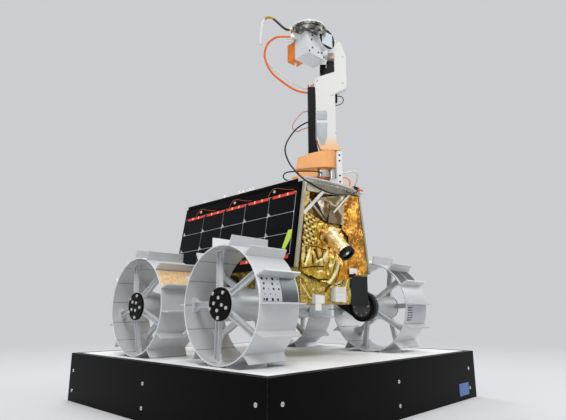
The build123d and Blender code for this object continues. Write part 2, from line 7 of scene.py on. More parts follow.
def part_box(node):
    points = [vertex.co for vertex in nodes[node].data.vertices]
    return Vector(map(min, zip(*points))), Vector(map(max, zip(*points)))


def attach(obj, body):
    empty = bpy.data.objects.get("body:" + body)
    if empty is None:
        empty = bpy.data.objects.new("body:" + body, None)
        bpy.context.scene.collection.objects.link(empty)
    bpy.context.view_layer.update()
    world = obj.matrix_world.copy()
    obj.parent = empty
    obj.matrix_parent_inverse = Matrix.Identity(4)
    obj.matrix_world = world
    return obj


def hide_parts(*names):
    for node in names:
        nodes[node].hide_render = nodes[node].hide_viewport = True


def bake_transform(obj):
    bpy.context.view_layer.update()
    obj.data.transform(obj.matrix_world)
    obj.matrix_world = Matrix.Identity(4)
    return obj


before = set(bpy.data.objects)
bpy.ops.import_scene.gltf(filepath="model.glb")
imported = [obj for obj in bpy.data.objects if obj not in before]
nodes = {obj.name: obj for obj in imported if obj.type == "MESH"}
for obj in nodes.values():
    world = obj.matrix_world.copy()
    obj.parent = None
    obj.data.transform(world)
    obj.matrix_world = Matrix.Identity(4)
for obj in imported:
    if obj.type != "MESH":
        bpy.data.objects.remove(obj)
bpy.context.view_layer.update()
print("frame loaded:", len(nodes), "nodes")

# The pieces are modelled in the rover's own millimetres and moved to scene metres when they are finished.
roverPlace = Matrix.Translation((-0.028, -0.016, 0.204)) @ Matrix.Scale(0.001, 4)
mastPlace = Matrix.Translation((2, -156, 0)) @ Matrix.Rotation(radians(-46), 4, "Z")
headPlace = Matrix.Translation((-68.7, -173.5, 0)) @ Matrix.Rotation(radians(-6), 4, "Z")
still = Matrix.Identity(4)
lying = Matrix.Rotation(pi / 2, 4, "X")   # lays a plate down: outline as (x, -y), near and far as heights


# Shapes: each is added to a bmesh that becomes one piece.
def roundEdges(bm, edges, width, segments):
    bmesh.ops.bevel(bm, geom=edges, offset=width, affect="EDGES", segments=segments, profile=0.5, material=-1)


def edgesOf(verts):
    return list({e for v in verts for e in v.link_edges})


def addBlock(bm, low, high, place=still, bevel=0.0, segments=1):
    low, high = Vector(low), Vector(high)
    where = place @ Matrix.Translation((low + high) / 2) @ Matrix.Diagonal((*(high - low), 1))
    made = bmesh.ops.create_cube(bm, size=1.0, matrix=where)
    if bevel:
        roundEdges(bm, edgesOf(made["verts"]), bevel, segments)


def addRod(bm, start, end, radius, tip=None, sides=24, place=still, bevel=0.0, segments=2):
    a, b = place @ Vector(start), place @ Vector(end)
    where = Matrix.Translation((a + b) / 2) @ (b - a).to_track_quat("Z", "Y").to_matrix().to_4x4()
    made = bmesh.ops.create_cone(bm, cap_ends=True, cap_tris=False, segments=sides, radius1=radius,
                                 radius2=radius if tip is None else tip, depth=(b - a).length, matrix=where)
    if bevel:
        rims = [e for e in edgesOf(made["verts"]) if any(len(f.verts) > 4 for f in e.link_faces)]
        roundEdges(bm, rims, bevel, segments)


def addPlate(bm, outline, near, far, place=still, bevel=0.0):
    # the outline is (x, z) pairs, and the plate runs from y = near to y = far
    face = bm.faces.new([bm.verts.new(place @ Vector((x, near, z))) for x, z in outline])
    grown = bmesh.ops.extrude_face_region(bm, geom=[face])
    fresh = [v for v in grown["geom"] if isinstance(v, bmesh.types.BMVert)]
    bmesh.ops.translate(bm, verts=fresh, vec=place.to_3x3() @ Vector((0, far - near, 0)))
    if bevel:
        roundEdges(bm, edgesOf(fresh), bevel, 2)


def addRing(bm, profile, start, axis, sides=48, place=still):
    # the profile is (distance along the axis, radius) pairs, closed, spun once round
    axis = Vector(axis).normalized()
    side = axis.orthogonal().normalized()
    spots = [Vector(start) + axis * along + side * radius for along, radius in profile]
    verts = [bm.verts.new(place @ spot) for spot in spots]
    edges = [bm.edges.new(pair) for pair in zip(verts, verts[1:] + verts[:1])]
    bmesh.ops.spin(bm, geom=verts + edges, cent=place @ Vector(start), axis=place.to_3x3() @ axis,
                   angle=2 * pi, steps=sides, use_merge=True, use_duplicate=False)


def addPatch(bm, inner, outer, x0, x1, angle0, angle1, place, steps=6):
    # a curved strip of a wheel, between two radii; an angle of 0 points forward and 90 up
    start = Vector((0, -cos(radians(angle0)), sin(radians(angle0))))
    ring = [(x0, inner), (x1, inner), (x1, outer), (x0, outer)]
    face = bm.faces.new([bm.verts.new(place @ (Vector((x, 0, 0)) + start * r)) for x, r in ring])
    bmesh.ops.spin(bm, geom=[face], cent=place @ Vector((0, 0, 0)), axis=place.to_3x3() @ Vector((-1, 0, 0)),
                   angle=radians(angle1 - angle0), steps=steps, use_merge=False, use_duplicate=False)


def circle(count, radius, start=0.0):
    # evenly spaced spots, the first at the start angle in degrees
    turns = [radians(start + 360 * i / count) for i in range(count)]
    return [(radius * cos(a), radius * sin(a)) for a in turns]


# Pieces: each gets its finish and its body here.
def addObject(name, data):
    made = bpy.data.objects.new(name, data)
    bpy.context.scene.collection.objects.link(made)
    return made


def newPiece(name, bm, finish, body="rover", hides=(), sharpAngle=32):
    bmesh.ops.remove_doubles(bm, verts=bm.verts, dist=0.0005)
    bmesh.ops.recalc_face_normals(bm, faces=bm.faces)
    bmesh.ops.transform(bm, matrix=roverPlace, verts=bm.verts)
    for face in bm.faces:
        face.smooth = True
    for edge in bm.edges:
        edge.smooth = not edge.is_manifold or edge.calc_face_angle() < radians(sharpAngle)
    mesh = bpy.data.meshes.new(name)
    bm.to_mesh(mesh)
    bm.free()
    mesh.materials.append(finishes[finish])
    piece = addObject(name, mesh)
    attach(piece, body)
    if hides:
        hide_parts(*hides)


def blockPiece(name, blocks, finish, slot, bevel=0.0, segments=1, place=still, body="rover"):
    bm = bmesh.new()
    for low, high in blocks:
        addBlock(bm, low, high, place, bevel, segments)
    newPiece(name, bm, finish, body)


def rodPiece(name, rods, radius, finish, slot, tip=None, sides=16, bevel=0.0, segments=2, place=still,
             body="rover"):
    bm = bmesh.new()
    for start, end in rods:
        addRod(bm, start, end, radius, tip, sides, place, bevel, segments)
    newPiece(name, bm, finish, body)


def ringPiece(name, rings, finish, slot, axis=(0, 0, 1), sides=48, place=still, body="rover"):
    # each ring is its profile and the spot that it is spun round
    bm = bmesh.new()
    for profile, start in rings:
        addRing(bm, profile, start, axis, sides, place)
    newPiece(name, bm, finish, body)


def platePiece(name, outlines, near, far, finish, slot, bevel=0.0, place=still):
    bm = bmesh.new()
    for outline in outlines:
        addPlate(bm, outline, near, far, place, bevel)
    newPiece(name, bm, finish)


camera = {
    "place": (-0.8098, -0.8060, 0.1871), "nearest": 0.01,   # metres
    "tiltUp": 12.43, "pan": 45.95, "roll": 0.1,             # degrees
    "lens": 30.06, "sensor": 36.0,                          # millimetres
}


def addCamera(c):
    data = bpy.data.cameras.new("camera")
    data.lens = c["lens"]
    data.sensor_width = c["sensor"]
    data.clip_start = c["nearest"]
    cam = addObject("camera", data)
    cam.location = c["place"]
    cam.rotation_euler = (radians(90 + c["tiltUp"]), radians(c["roll"]), radians(-c["pan"]))
    bpy.context.scene.camera = cam


addCamera(camera)


# Nodes, and the effects that several finishes share.
def feed(tree, node, values):
    # each value is a fixed one or the socket that it comes from
    for key, value in values.items():
        if isinstance(value, bpy.types.NodeSocket):
            tree.links.new(value, node.inputs[key])
        else:
            node.inputs[key].default_value = value


def put(tree, kind, values=None, **settings):
    made = tree.nodes.new("ShaderNode" + kind)
    for key, value in settings.items():
        setattr(made, key, value)
    feed(tree, made, values or {})
    return made


def sums(tree, operation, a, b=0.0, clamp=False):
    return put(tree, "Math", {0: a, 1: b}, operation=operation, use_clamp=clamp).outputs[0]


def times(tree, a, b, clamp=False):
    return sums(tree, "MULTIPLY", a, b, clamp)


def vectorSums(tree, operation, a, b):
    return put(tree, "VectorMath", {0: a, 1: b}, operation=operation).outputs[0]


def scaled(tree, vector, share):
    return put(tree, "VectorMath", {0: vector, "Scale": share}, operation="SCALE").outputs[0]


def dotProduct(tree, a, b):
    return put(tree, "VectorMath", {0: a, 1: b}, operation="DOT_PRODUCT").outputs["Value"]


def blendColours(tree, share, a, b):
    return put(tree, "Mix", {0: share, 6: a, 7: b}, data_type="RGBA", clamp_factor=True).outputs[2]


def ramp(tree, value, low, high):
    return put(tree, "MapRange", {"Value": value, "From Min": low, "From Max": high}, clamp=True).outputs[0]


def objectSpot(tree):
    return put(tree, "TexCoord").outputs["Object"]


def heightOf(tree, vector):
    return put(tree, "SeparateXYZ", {0: vector}).outputs["Z"]


def cloud(tree, place, scale, detail, **more):
    return put(tree, "TexNoise", {"Vector": place, "Scale": scale, "Detail": detail, **more}).outputs[0]


def shade(red, green, blue):
    # screen values from 0 to 255, as the linear colour that the nodes take
    linear = [((v / 255 + 0.055) / 1.055) ** 2.4 if v > 10 else v / 255 / 12.92 for v in (red, green, blue)]
    return (*linear, 1.0)


def newEffect(name, takes, gives):
    tree = bpy.data.node_groups.new(name, "ShaderNodeTree")
    for label, value in takes.items():
        kind = "Float" if isinstance(value, float) else "Color"
        socket = tree.interface.new_socket(name=label, in_out="INPUT", socket_type="NodeSocket" + kind)
        socket.default_value = value
    for label, kind in gives.items():
        tree.interface.new_socket(name=label, in_out="OUTPUT", socket_type="NodeSocket" + kind)
    return tree, tree.nodes.new("NodeGroupInput").outputs, tree.nodes.new("NodeGroupOutput")


def makeEdgeWearAndHighlight():
    # paint rubbed thin along the edges, and the rounded normal of those edges; on printed plastic the paler
    # edges are painted highlight instead of wear
    tree, given, out = newEffect("edgeWearAndHighlight", {
        "Paint": (0.5, 0.5, 0.5, 1), "Bare": (0.7, 0.7, 0.7, 1), "Reach": 0.001, "Amount": 0.5},
        {"Colour": "Color", "Normal": "Vector"})
    rounded = put(tree, "Bevel", {"Radius": given["Reach"]}, samples=4).outputs[0]
    flat = put(tree, "NewGeometry").outputs["Normal"]
    bent = sums(tree, "SUBTRACT", 1.0, dotProduct(tree, rounded, flat))
    chips = cloud(tree, objectSpot(tree), 420.0, 4.0)
    near = times(tree, ramp(tree, bent, 0.02, 0.2), ramp(tree, chips, 0.42, 0.62))
    markedAtEdges = times(tree, near, given["Amount"], clamp=True)
    feed(tree, out, {"Colour": blendColours(tree, markedAtEdges, given["Paint"], given["Bare"]), "Normal": rounded})
    return tree


def makeMottle():
    # slow tonal drift and fine grain: Tone runs about 1, Grain from 0 to 1, Height in metres
    tree, given, out = newEffect("mottle", {"Patch": 12.0, "Fine": 900.0, "Drift": 0.06, "Depth": 0.00004},
                                 {"Tone": "Float", "Grain": "Float", "Height": "Float"})
    place = objectSpot(tree)
    slow = sums(tree, "SUBTRACT", cloud(tree, place, given["Patch"], 5.0), 0.5)
    fine = cloud(tree, place, given["Fine"], 3.0)
    feed(tree, out, {"Tone": sums(tree, "ADD", times(tree, slow, given["Drift"]), 1.0), "Grain": fine,
                     "Height": times(tree, fine, given["Depth"])})
    return tree


def makeDust():
    # pale dust on what faces up, thicker in patches
    tree, given, out = newEffect("dust", {
        "Colour": (0.5, 0.5, 0.5, 1), "Dust": (0.55, 0.52, 0.48, 1), "Amount": 0.2},
        {"Colour": "Color", "Mask": "Float"})
    up = heightOf(tree, put(tree, "NewGeometry").outputs["Normal"])
    specks = cloud(tree, objectSpot(tree), 55.0, 8.0, Roughness=0.7)
    settled = times(tree, ramp(tree, up, 0.2, 1.0), ramp(tree, specks, 0.4, 0.72))
    mask = times(tree, settled, given["Amount"], clamp=True)
    feed(tree, out, {"Colour": blendColours(tree, mask, given["Colour"], given["Dust"]), "Mask": mask})
    return tree


def makeCrumple():
    # thin foil: each cell of a Voronoi pattern is a flat facet leaning its own way
    tree, given, out = newEffect("crumple", {"Cells": 90.0, "Lean": 0.5, "Twist": 0.4},
                                 {"Height": "Float", "Tone": "Float", "Crease": "Float"})
    middle = (0.5, 0.5, 0.5)
    place = objectSpot(tree)
    broad = times(tree, given["Cells"], 0.5)
    wander = put(tree, "TexNoise", {"Vector": place, "Scale": broad}).outputs["Color"]
    reach = sums(tree, "DIVIDE", given["Twist"], given["Cells"])
    spot = vectorSums(tree, "ADD", place, scaled(tree, vectorSums(tree, "SUBTRACT", wander, middle), reach))
    cells = put(tree, "TexVoronoi", {"Vector": spot, "Scale": given["Cells"]}).outputs
    away = vectorSums(tree, "SUBTRACT", spot, cells["Position"])
    rise = dotProduct(tree, away, vectorSums(tree, "SUBTRACT", cells["Color"], middle))
    rim = put(tree, "TexVoronoi", {"Vector": spot, "Scale": given["Cells"]}, feature="DISTANCE_TO_EDGE")
    feed(tree, out, {"Height": times(tree, rise, given["Lean"]),
                     "Tone": put(tree, "SeparateColor", {0: cells["Color"]}).outputs[0],
                     "Crease": ramp(tree, rim.outputs["Distance"], 0.08, 0.0)})
    return tree


def makeLayers():
    # the fine stacked lines of printed plastic, level in height
    tree, given, out = newEffect("printLayers", {"Pitch": 0.0006, "Depth": 0.00012},
                                 {"Height": "Float", "Line": "Float"})
    turn = times(tree, sums(tree, "DIVIDE", heightOf(tree, objectSpot(tree)), given["Pitch"]), 2 * pi)
    wave = ramp(tree, sums(tree, "SINE", turn), -1.0, 1.0)
    feed(tree, out, {"Height": times(tree, wave, given["Depth"]), "Line": wave})
    return tree


effects = {
    "edgeWearAndHighlight": makeEdgeWearAndHighlight(), "mottle": makeMottle(), "dust": makeDust(), "crumple": makeCrumple(),
    "layers": makeLayers(),
}


def useEffect(tree, name, values):
    made = tree.nodes.new("ShaderNodeGroup")
    made.node_tree = effects[name]
    feed(tree, made, values)
    return made.outputs


def startFinish(name, values=None):
    finish = bpy.data.materials.new(name)
    finish.use_nodes = True
    tree = finish.node_tree
    tree.nodes.clear()
    skin = put(tree, "BsdfPrincipled", values)
    put(tree, "OutputMaterial", {"Surface": skin.outputs[0]})
    return finish, tree, skin


def spread(tree, value, low, high, **limits):
    return put(tree, "MapRange", {"Value": value, "To Min": low, "To Max": high, **limits}).outputs[0]


def bumpOf(tree, height, **more):
    return put(tree, "Bump", {"Height": height, "Strength": 1.0, "Distance": 1.0, **more}).outputs[0]


def solidFinish(name, colour, rough, metal=0.0, bare=None, wear=0.0, reach=0.0008, dust=0.0, drift=0.08,
                grain=0.00004, fine=900.0, patch=14.0, coat=0.0, tint=None, gloss=0.5):
    # painted, anodised, moulded or machined: one colour that drifts, grains, wears and gathers dust
    finish, tree, skin = startFinish(name, {"Metallic": metal, "Specular IOR Level": gloss,
                                            "Coat Weight": coat, "Coat Roughness": 0.15})
    mottle = useEffect(tree, "mottle", {"Patch": patch, "Fine": fine, "Drift": drift, "Depth": grain})
    toned = scaled(tree, shade(*colour)[:3], mottle["Tone"])
    if tint:
        toned = tint(tree, toned)
    edge = useEffect(tree, "edgeWearAndHighlight", {"Paint": toned, "Bare": shade(*(bare or colour)), "Reach": reach,
                                        "Amount": wear})
    dusty = useEffect(tree, "dust", {"Colour": edge["Colour"], "Amount": dust})
    level = spread(tree, mottle["Grain"], rough - 0.06, rough + 0.06, **{"From Min": 0.3, "From Max": 0.7})
    level = sums(tree, "ADD", level, times(tree, dusty["Mask"], 0.25), clamp=True)
    feed(tree, skin, {"Base Color": dusty["Colour"], "Roughness": level,
                      "Normal": bumpOf(tree, mottle["Height"], Normal=edge["Normal"])})
    return finish


def foilFinish(name, colour, deep, pale, rough, cells, lean, metal=1.0, folds=()):
    # crumpled metallised film: large facets with smaller ones in them, painted reflection that darkens and
    # pales them at random, and painted shade and highlight along its modelled folds
    finish, tree, skin = startFinish(name, {"Metallic": metal})
    big = useEffect(tree, "crumple", {"Cells": cells, "Lean": lean, "Twist": 0.6})
    small = useEffect(tree, "crumple", {"Cells": cells * 2.7, "Lean": lean * 0.7, "Twist": 0.6})
    mottle = useEffect(tree, "mottle", {"Patch": cells * 0.6, "Drift": 0.4, "Fine": cells * 14,
                                        "Depth": 0.00002})
    # dark and pale facets at random are painted reflection; the paler crease lines are painted highlight
    base = blendColours(tree, ramp(tree, big["Tone"], 0.25, 0.95), shade(*deep), shade(*colour))
    lit = blendColours(tree, ramp(tree, small["Tone"], 0.72, 1.0), base, shade(*pale))
    markedAtEdges = blendColours(tree, times(tree, big["Crease"], 0.45), lit, shade(*pale))
    toned = scaled(tree, markedAtEdges, mottle["Tone"])
    # painted shade and highlight on the folds, from their slope and the drawn fold lines; the highlights lose
    # metal so that they read pale
    if folds:
        foldShade = put(tree, "Attribute", attribute_name="paintedFoldShade").outputs["Fac"]
        dark, bright, *warm = [shade(*fold) for fold in folds]
        if warm:
            warmth = put(tree, "Attribute", attribute_name="foldWarm").outputs["Fac"]
            toned = blendColours(tree, times(tree, warmth, 0.75), toned, warm[0])
        toned = blendColours(tree, ramp(tree, foldShade, 0.46, 0.2), toned, dark)
        high = ramp(tree, foldShade, 0.6, 0.92)
        toned = blendColours(tree, high, toned, bright)
        feed(tree, skin, {"Metallic": sums(tree, "SUBTRACT", metal, times(tree, high, metal * 0.9))})
    height = sums(tree, "ADD", sums(tree, "ADD", big["Height"], small["Height"]), mottle["Height"])
    level = spread(tree, small["Tone"], rough - 0.08, rough + 0.1)
    feed(tree, skin, {"Base Color": toned, "Roughness": level, "Normal": bumpOf(tree, height)})
    return finish


def printFinish(name, colour, deep, pale):
    # orange printed plastic with its layer lines and a painted highlight along its edges
    finish, tree, skin = startFinish(name)
    lines = useEffect(tree, "layers", {"Pitch": 0.0008, "Depth": 0.00012})
    mottle = useEffect(tree, "mottle", {"Patch": 30.0, "Fine": 500.0, "Drift": 0.2, "Depth": 0.00005})
    base = blendColours(tree, times(tree, lines["Line"], 0.35), shade(*colour), shade(*deep))
    # the edge effect here paints a pale highlight along the edges, not wear
    edge = useEffect(tree, "edgeWearAndHighlight", {"Paint": scaled(tree, base, mottle["Tone"]), "Bare": shade(*pale),
                                        "Reach": 0.0022, "Amount": 1.0})
    height = sums(tree, "ADD", lines["Height"], mottle["Height"])
    feed(tree, skin, {"Base Color": edge["Colour"], "Roughness": spread(tree, mottle["Grain"], 0.35, 0.55),
                      "Normal": bumpOf(tree, height, Normal=edge["Normal"])})
    return finish


def cellFinish(name):
    # a dark glossy solar cell with fine silver lines down it
    finish, tree, skin = startFinish(name, {"Specular IOR Level": 0.06})
    along = put(tree, "SeparateXYZ", {0: objectSpot(tree)}).outputs["Y"]
    along = sums(tree, "FRACT", sums(tree, "DIVIDE", along, 0.0021))
    finger = ramp(tree, sums(tree, "ABSOLUTE", sums(tree, "SUBTRACT", along, 0.5)), 0.06, 0.03)
    mottle = useEffect(tree, "mottle", {"Patch": 25.0, "Fine": 300.0, "Drift": 0.8, "Depth": 0.00001})
    base = scaled(tree, shade(9, 12, 14)[:3], mottle["Tone"])
    feed(tree, skin, {"Base Color": blendColours(tree, times(tree, finger, 0.06), base, shade(90, 96, 102)),
                      "Roughness": spread(tree, mottle["Grain"], 0.22, 0.36),
                      "Normal": bumpOf(tree, times(tree, finger, 0.00003))})
    return finish


def warmFoot(tree, colour):
    # the arm's foot turns peach below a set height
    share = times(tree, ramp(tree, heightOf(tree, objectSpot(tree)), 0.578, 0.55), 0.9)
    return blendColours(tree, share, colour, shade(250, 196, 132))


def domeShade(tree, colour):
    # pale lid above the rim, dark streaked metal on the drum and under it
    place = objectSpot(tree)
    streaks = cloud(tree, place, 75.0, 6.0, Roughness=0.65)
    dark = blendColours(tree, ramp(tree, streaks, 0.42, 0.5), shade(30, 27, 24), shade(112, 108, 102))
    band = blendColours(tree, ramp(tree, streaks, 0.52, 0.62), dark, shade(215, 212, 206))
    return blendColours(tree, ramp(tree, heightOf(tree, place), 0.8205, 0.8212), band, colour)


solidLooks = {
    # colour as screen values, roughness, and what differs from the usual finish
    "plinthWhite": ((240, 242, 244), 0.42, dict(bare=(190, 180, 165), wear=0.5, reach=0.0012, dust=0.05,
                                                drift=0.05, patch=6.0)),
    "plinthBlack": ((7, 7, 8), 0.36, dict(bare=(120, 118, 115), wear=0.5, reach=0.0012, drift=0.5, patch=5.0,
                                          grain=0.00003, gloss=0.04)),
    "labelBlue": ((70, 105, 165), 0.35, {}),
    "wheelPaint": ((208, 211, 213), 0.36, dict(metal=0.2, bare=(240, 240, 240), wear=0.8, reach=0.0006,
                                               drift=0.12, patch=18.0, grain=0.00003)),
    "plateGrey": ((186, 191, 196), 0.5, dict(drift=0.35, patch=120.0, gloss=0.3)),
    "seamGrey": ((128, 132, 136), 0.5, dict(drift=0.2)),
    # bright white: the strap's own colour, and painted highlight on the wheels' rim lips and the deck's lip
    "rimEdge": ((238, 239, 240), 0.3, dict(metal=0.2, drift=0.05)),
    "peachPanel": ((248, 212, 160), 0.35, dict(metal=0.2, drift=0.9, patch=170.0)),
    "hubBlack": ((7, 7, 8), 0.4, dict(bare=(90, 90, 92), wear=0.3, gloss=0.08)),
    "boltSteel": ((215, 214, 208), 0.25, dict(metal=1.0, drift=0.2, fine=1500.0)),
    "rockerBlack": ((22, 24, 26), 0.42, dict(bare=(110, 112, 112), wear=0.5, drift=0.25, gloss=0.2)),
    "motorGrey": ((92, 96, 98), 0.35, dict(metal=0.8, bare=(180, 182, 184), wear=0.7)),
    "aluminium": ((200, 200, 196), 0.33, dict(metal=0.85, bare=(225, 225, 222), wear=0.6)),
    "frameOlive": ((168, 164, 142), 0.36, dict(metal=0.5, bare=(225, 225, 215), wear=0.9, reach=0.0014,
                                               drift=0.5, patch=30.0)),
    "braceGrey": ((222, 220, 212), 0.4, dict(metal=0.1, bare=(240, 240, 235), wear=0.4)),
    "deckWhite": ((208, 209, 205), 0.4, dict(bare=(230, 228, 220), wear=0.4, drift=0.12)),
    "mastWhite": ((228, 228, 226), 0.45, dict(bare=(170, 168, 165), wear=0.25, reach=0.0015, tint=warmFoot)),
    "headWhite": ((222, 224, 228), 0.4, dict(bare=(150, 148, 145), wear=0.3, drift=0.12, dust=0.1)),
    "blackPlastic": ((9, 9, 10), 0.42, dict(bare=(60, 60, 62), wear=0.3, drift=0.3, gloss=0.15)),
    "baseBrown": ((112, 76, 54), 0.35, dict(metal=0.6, bare=(220, 170, 130), wear=0.8, drift=0.5,
                                            patch=60.0)),
    "lipSilver": ((246, 248, 244), 0.22, dict(metal=0.85, drift=0.25, patch=24.0)),
    "tiltGrey": ((188, 172, 158), 0.42, dict(bare=(214, 140, 80), wear=0.6, drift=0.3)),
    "panelBlack": ((8, 8, 9), 0.4, dict(bare=(60, 60, 60), wear=0.4, drift=0.3, gloss=0.05)),
    "cellBacking": ((190, 194, 198), 0.5, dict(drift=0.15)),
    "stripRed": ((234, 52, 44), 0.4, dict(drift=0.2)),
    "stripDot": ((245, 225, 170), 0.35, {}),
    "limeTape": ((196, 228, 72), 0.4, dict(drift=0.25, patch=60.0)),
    "copper": ((176, 96, 52), 0.35, dict(metal=0.8, drift=0.4, fine=1500.0)),
    "brass": ((214, 172, 96), 0.22, dict(metal=1.0, drift=0.3, patch=80.0)),
    "whitePlug": ((232, 232, 230), 0.4, {}),
    "lensGlass": ((214, 228, 232), 0.12, dict(drift=0.12, coat=0.6, patch=40.0)),
    "lensDark": ((14, 15, 17), 0.1, dict(drift=0.2, coat=0.4, gloss=0.3)),
    "domeLid": ((226, 228, 230), 0.34, dict(drift=0.1, tint=domeShade)),
    "cableBlack": ((9, 9, 10), 0.3, dict(drift=0.3, fine=2500.0, gloss=0.35)),
    "cableOrange": ((236, 112, 30), 0.35, dict(drift=0.35, patch=30.0, fine=2500.0)),
    "cableWhite": ((230, 221, 208), 0.4, dict(drift=0.15, fine=2500.0)),
    "cablePeach": ((246, 150, 84), 0.4, dict(drift=0.15, fine=2500.0)),
    "cableRed": ((205, 110, 96), 0.4, dict(drift=0.2, fine=2500.0)),
    "tapeYellow": ((190, 150, 30), 0.4, dict(drift=0.4, patch=90.0, fine=2500.0)),
}
foilLooks = {
    # colour, dark and pale facets as painted reflection, roughness, facets in a metre, their lean, and dark,
    # bright and warm folds: painted shade, painted highlight and warmer film
    "goldFoil": ((216, 172, 56), (176, 134, 36), (250, 226, 130), 0.34, 46.0, 0.1,
                 dict(folds=((60, 42, 8), (255, 250, 196), (232, 150, 26)))),
    "recessGold": ((214, 150, 60), (150, 98, 36), (250, 214, 140), 0.42, 60.0, 0.12, dict(metal=0.3)),
    "goldQuilt": ((208, 170, 66), (156, 122, 38), (240, 222, 140), 0.34, 120.0, 0.18, dict(metal=0.85)),
    "goldBelly": ((212, 176, 66), (168, 132, 42), (240, 222, 140), 0.34, 120.0, 0.16,
                  dict(metal=0.9, folds=((104, 78, 18), (255, 250, 200)))),
    "goldWing": ((222, 154, 44), (184, 114, 26), (248, 198, 98), 0.36, 80.0, 0.16,
                 dict(folds=((150, 88, 20), (244, 184, 74)))),
    # pale, near white: partly the film's own colour, partly painted highlight along the tube
    "tubeGold": ((254, 238, 196), (244, 206, 120), (255, 252, 236), 0.3, 60.0, 0.1, dict(metal=0.6)),
    "greyFoil": ((160, 140, 96), (96, 76, 36), (226, 220, 204), 0.3, 20.0, 0.06, dict(metal=0.7)),
}
printLooks = {
    # colour, the dark of its layer lines and the painted highlight on its edges
    "orangePrint": ((251, 184, 114), (234, 146, 72), (255, 226, 184)),
    "sensorOrange": ((246, 138, 18), (216, 106, 10), (252, 164, 56)),
}
finishes = {"solarCell": cellFinish("solarCell")}
for name, (colour, rough, more) in solidLooks.items():
    finishes[name] = solidFinish(name, colour, rough, **more)
for name, (*looks, more) in foilLooks.items():
    finishes[name] = foilFinish(name, *looks, **more)
for name, looks in printLooks.items():
    finishes[name] = printFinish(name, *looks)

corners = ("front_right", "rear_right", "front_left", "rear_left")
nodeFinishes = {
    "plinthWhite": "plinth_top_board", "plinthBlack": "plinth_side_panels",
    "motorGrey": "wheel_motors", "boltSteel": "wheel_axles mast_base_motors",
    "rockerBlack": "rocker_right rocker_left rocker_pivots", "goldQuilt": "body_core rear_plate",
    "panelBlack": "solar_panel_right solar_panel_left", "deckWhite": "top_deck connector_boxes",
    "frameOlive": "front_frame", "braceGrey": "front_braces", "tubeGold": "front_camera_tube",
    "blackPlastic": "front_camera_ring mast_duct mast_neck deck_plug head_lens_ring",
    "baseBrown": "mast_base", "orangePrint": "mast_bracket", "mastWhite": "mast_arm", "rimEdge": "mast_strap",
    "tiltGrey": "mast_tilt_block", "headWhite": "head_housing", "lensGlass": "head_lens_window",
    "domeLid": "head_dome", "sensorOrange": "head_sensor_block", "brass": "head_camera_plug",
    "whitePlug": "head_sensor_plug",
    "wheelPaint": " ".join(f"wheel_{w}_rim wheel_{w}_spokes" for w in corners),
    "hubBlack": " ".join(f"wheel_{w}_cap" for w in corners),
}
for finish, names in nodeFinishes.items():
    for name in names.split():
        materials = nodes[name].data.materials
        materials.clear()
        materials.append(finishes[finish])
print("finishes ready:", len(finishes))

# cords: curves along their routes, but the two that reach the head are meshes
cordLine = {
    # route in rover millimetres, radius and real length in millimetres, finish
    "camera_cord": ([
        (-79.6, -136.4, 613), (-84.5, -131.4, 613), (-89.5, -126.2, 616.4), (-95.5, -119, 626),
        (-102, -110, 638.5), (-108.5, -101, 649.5), (-117.5, -89, 646), (-120.5, -84, 627),
        (-119.5, -81.5, 604), (-118, -77.5, 582), (-112, -77.5, 561), (-101, -82.5, 542), (-84, -92, 527),
        (-66, -103.5, 513.5), (-49, -114.5, 500), (-33, -127.2, 490), (-24, -136.5, 488),
    ], 1.5, 292.5, "cableWhite"),
    "sensor_cord": ([
        (-79.9, -136, 596), (-88.2, -127.4, 596), (-101, -112.5, 597), (-113, -94, 583),
        (-114.5, -85.5, 558), (-105, -86, 534), (-90.5, -91.5, 514.5), (-72.5, -102, 500.5),
        (-54, -113, 487), (-36, -124.5, 479.5), (-24, -136.5, 478)], 2.4, 222.3, "cableOrange"),
    "duct_loop_cord": ([
        (-20.4, -133, 435.5), (-27.4, -125.8, 434), (-35.9, -121, 423), (-44.4, -117.5, 411),
        (-51.9, -114, 399), (-52.4, -115, 386.5), (-41.9, -119.5, 381.5), (-29.4, -124.5, 392),
        (-20.4, -133, 395)], 1.0, 105.9, "cableRed"),
    "deck_cord": ([
        (-24, -136.5, 406.5), (-40, -124.5, 397), (-67, -121.5, 366), (-90, -124, 331),
        (-98.5, -144.5, 292.5), (-103.5, -171, 264.5), (-110, -199.5, 240), (-64, -211.5, 223.5),
        (-28, -214, 223.5), (12, -214.5, 230), (44, -213.5, 241), (58, -209, 249), (66, -199, 256),
    ], 1.75, 410.8, "cableBlack"),
    "motor_lead": ([
        (-9.4, -161, 284), (-21.7, -166.5, 284), (-35.5, -156.1, 284.5), (-47.9, -141, 285),
        (-60.4, -125.5, 284.5), (-71.4, -111.5, 283.5), (-69.1, -99.7, 277), (-57.2, -97.8, 270.5),
        (-44.9, -109.2, 269.5), (-30.7, -123.6, 269.5), (-17.5, -135.9, 266.5), (-8.4, -145.2, 265),
    ], 1.5, 179.5, "cableBlack"),
    "white_lead": ([
        (28.3, -187.6, 286), (33.9, -193.4, 286), (44.5, -200.5, 291.5), (55.5, -205, 293.5),
        (66, -204, 286.5), (73, -197, 278.5), (74, -190, 271), (74, -189, 263)], 1.75, 76.1, "cableWhite"),
    "orange_lead": ([
        (27.6, -188.3, 277), (34.9, -195.8, 277), (45, -198.5, 268), (51.5, -188.4, 259), (64, -188, 258),
    ], 1.6, 49.2, "cablePeach"),
    "arm_loop_cord": ([
        (24.35, -176.25, 471), (30.6, -181.3, 473), (38.2, -186.3, 474), (42.4, -189.2, 466),
        (39.7, -186.4, 457), (32, -181.3, 451.5), (24.5, -176.4, 450)], 1.0, 54.6, "cableBlack"),
}


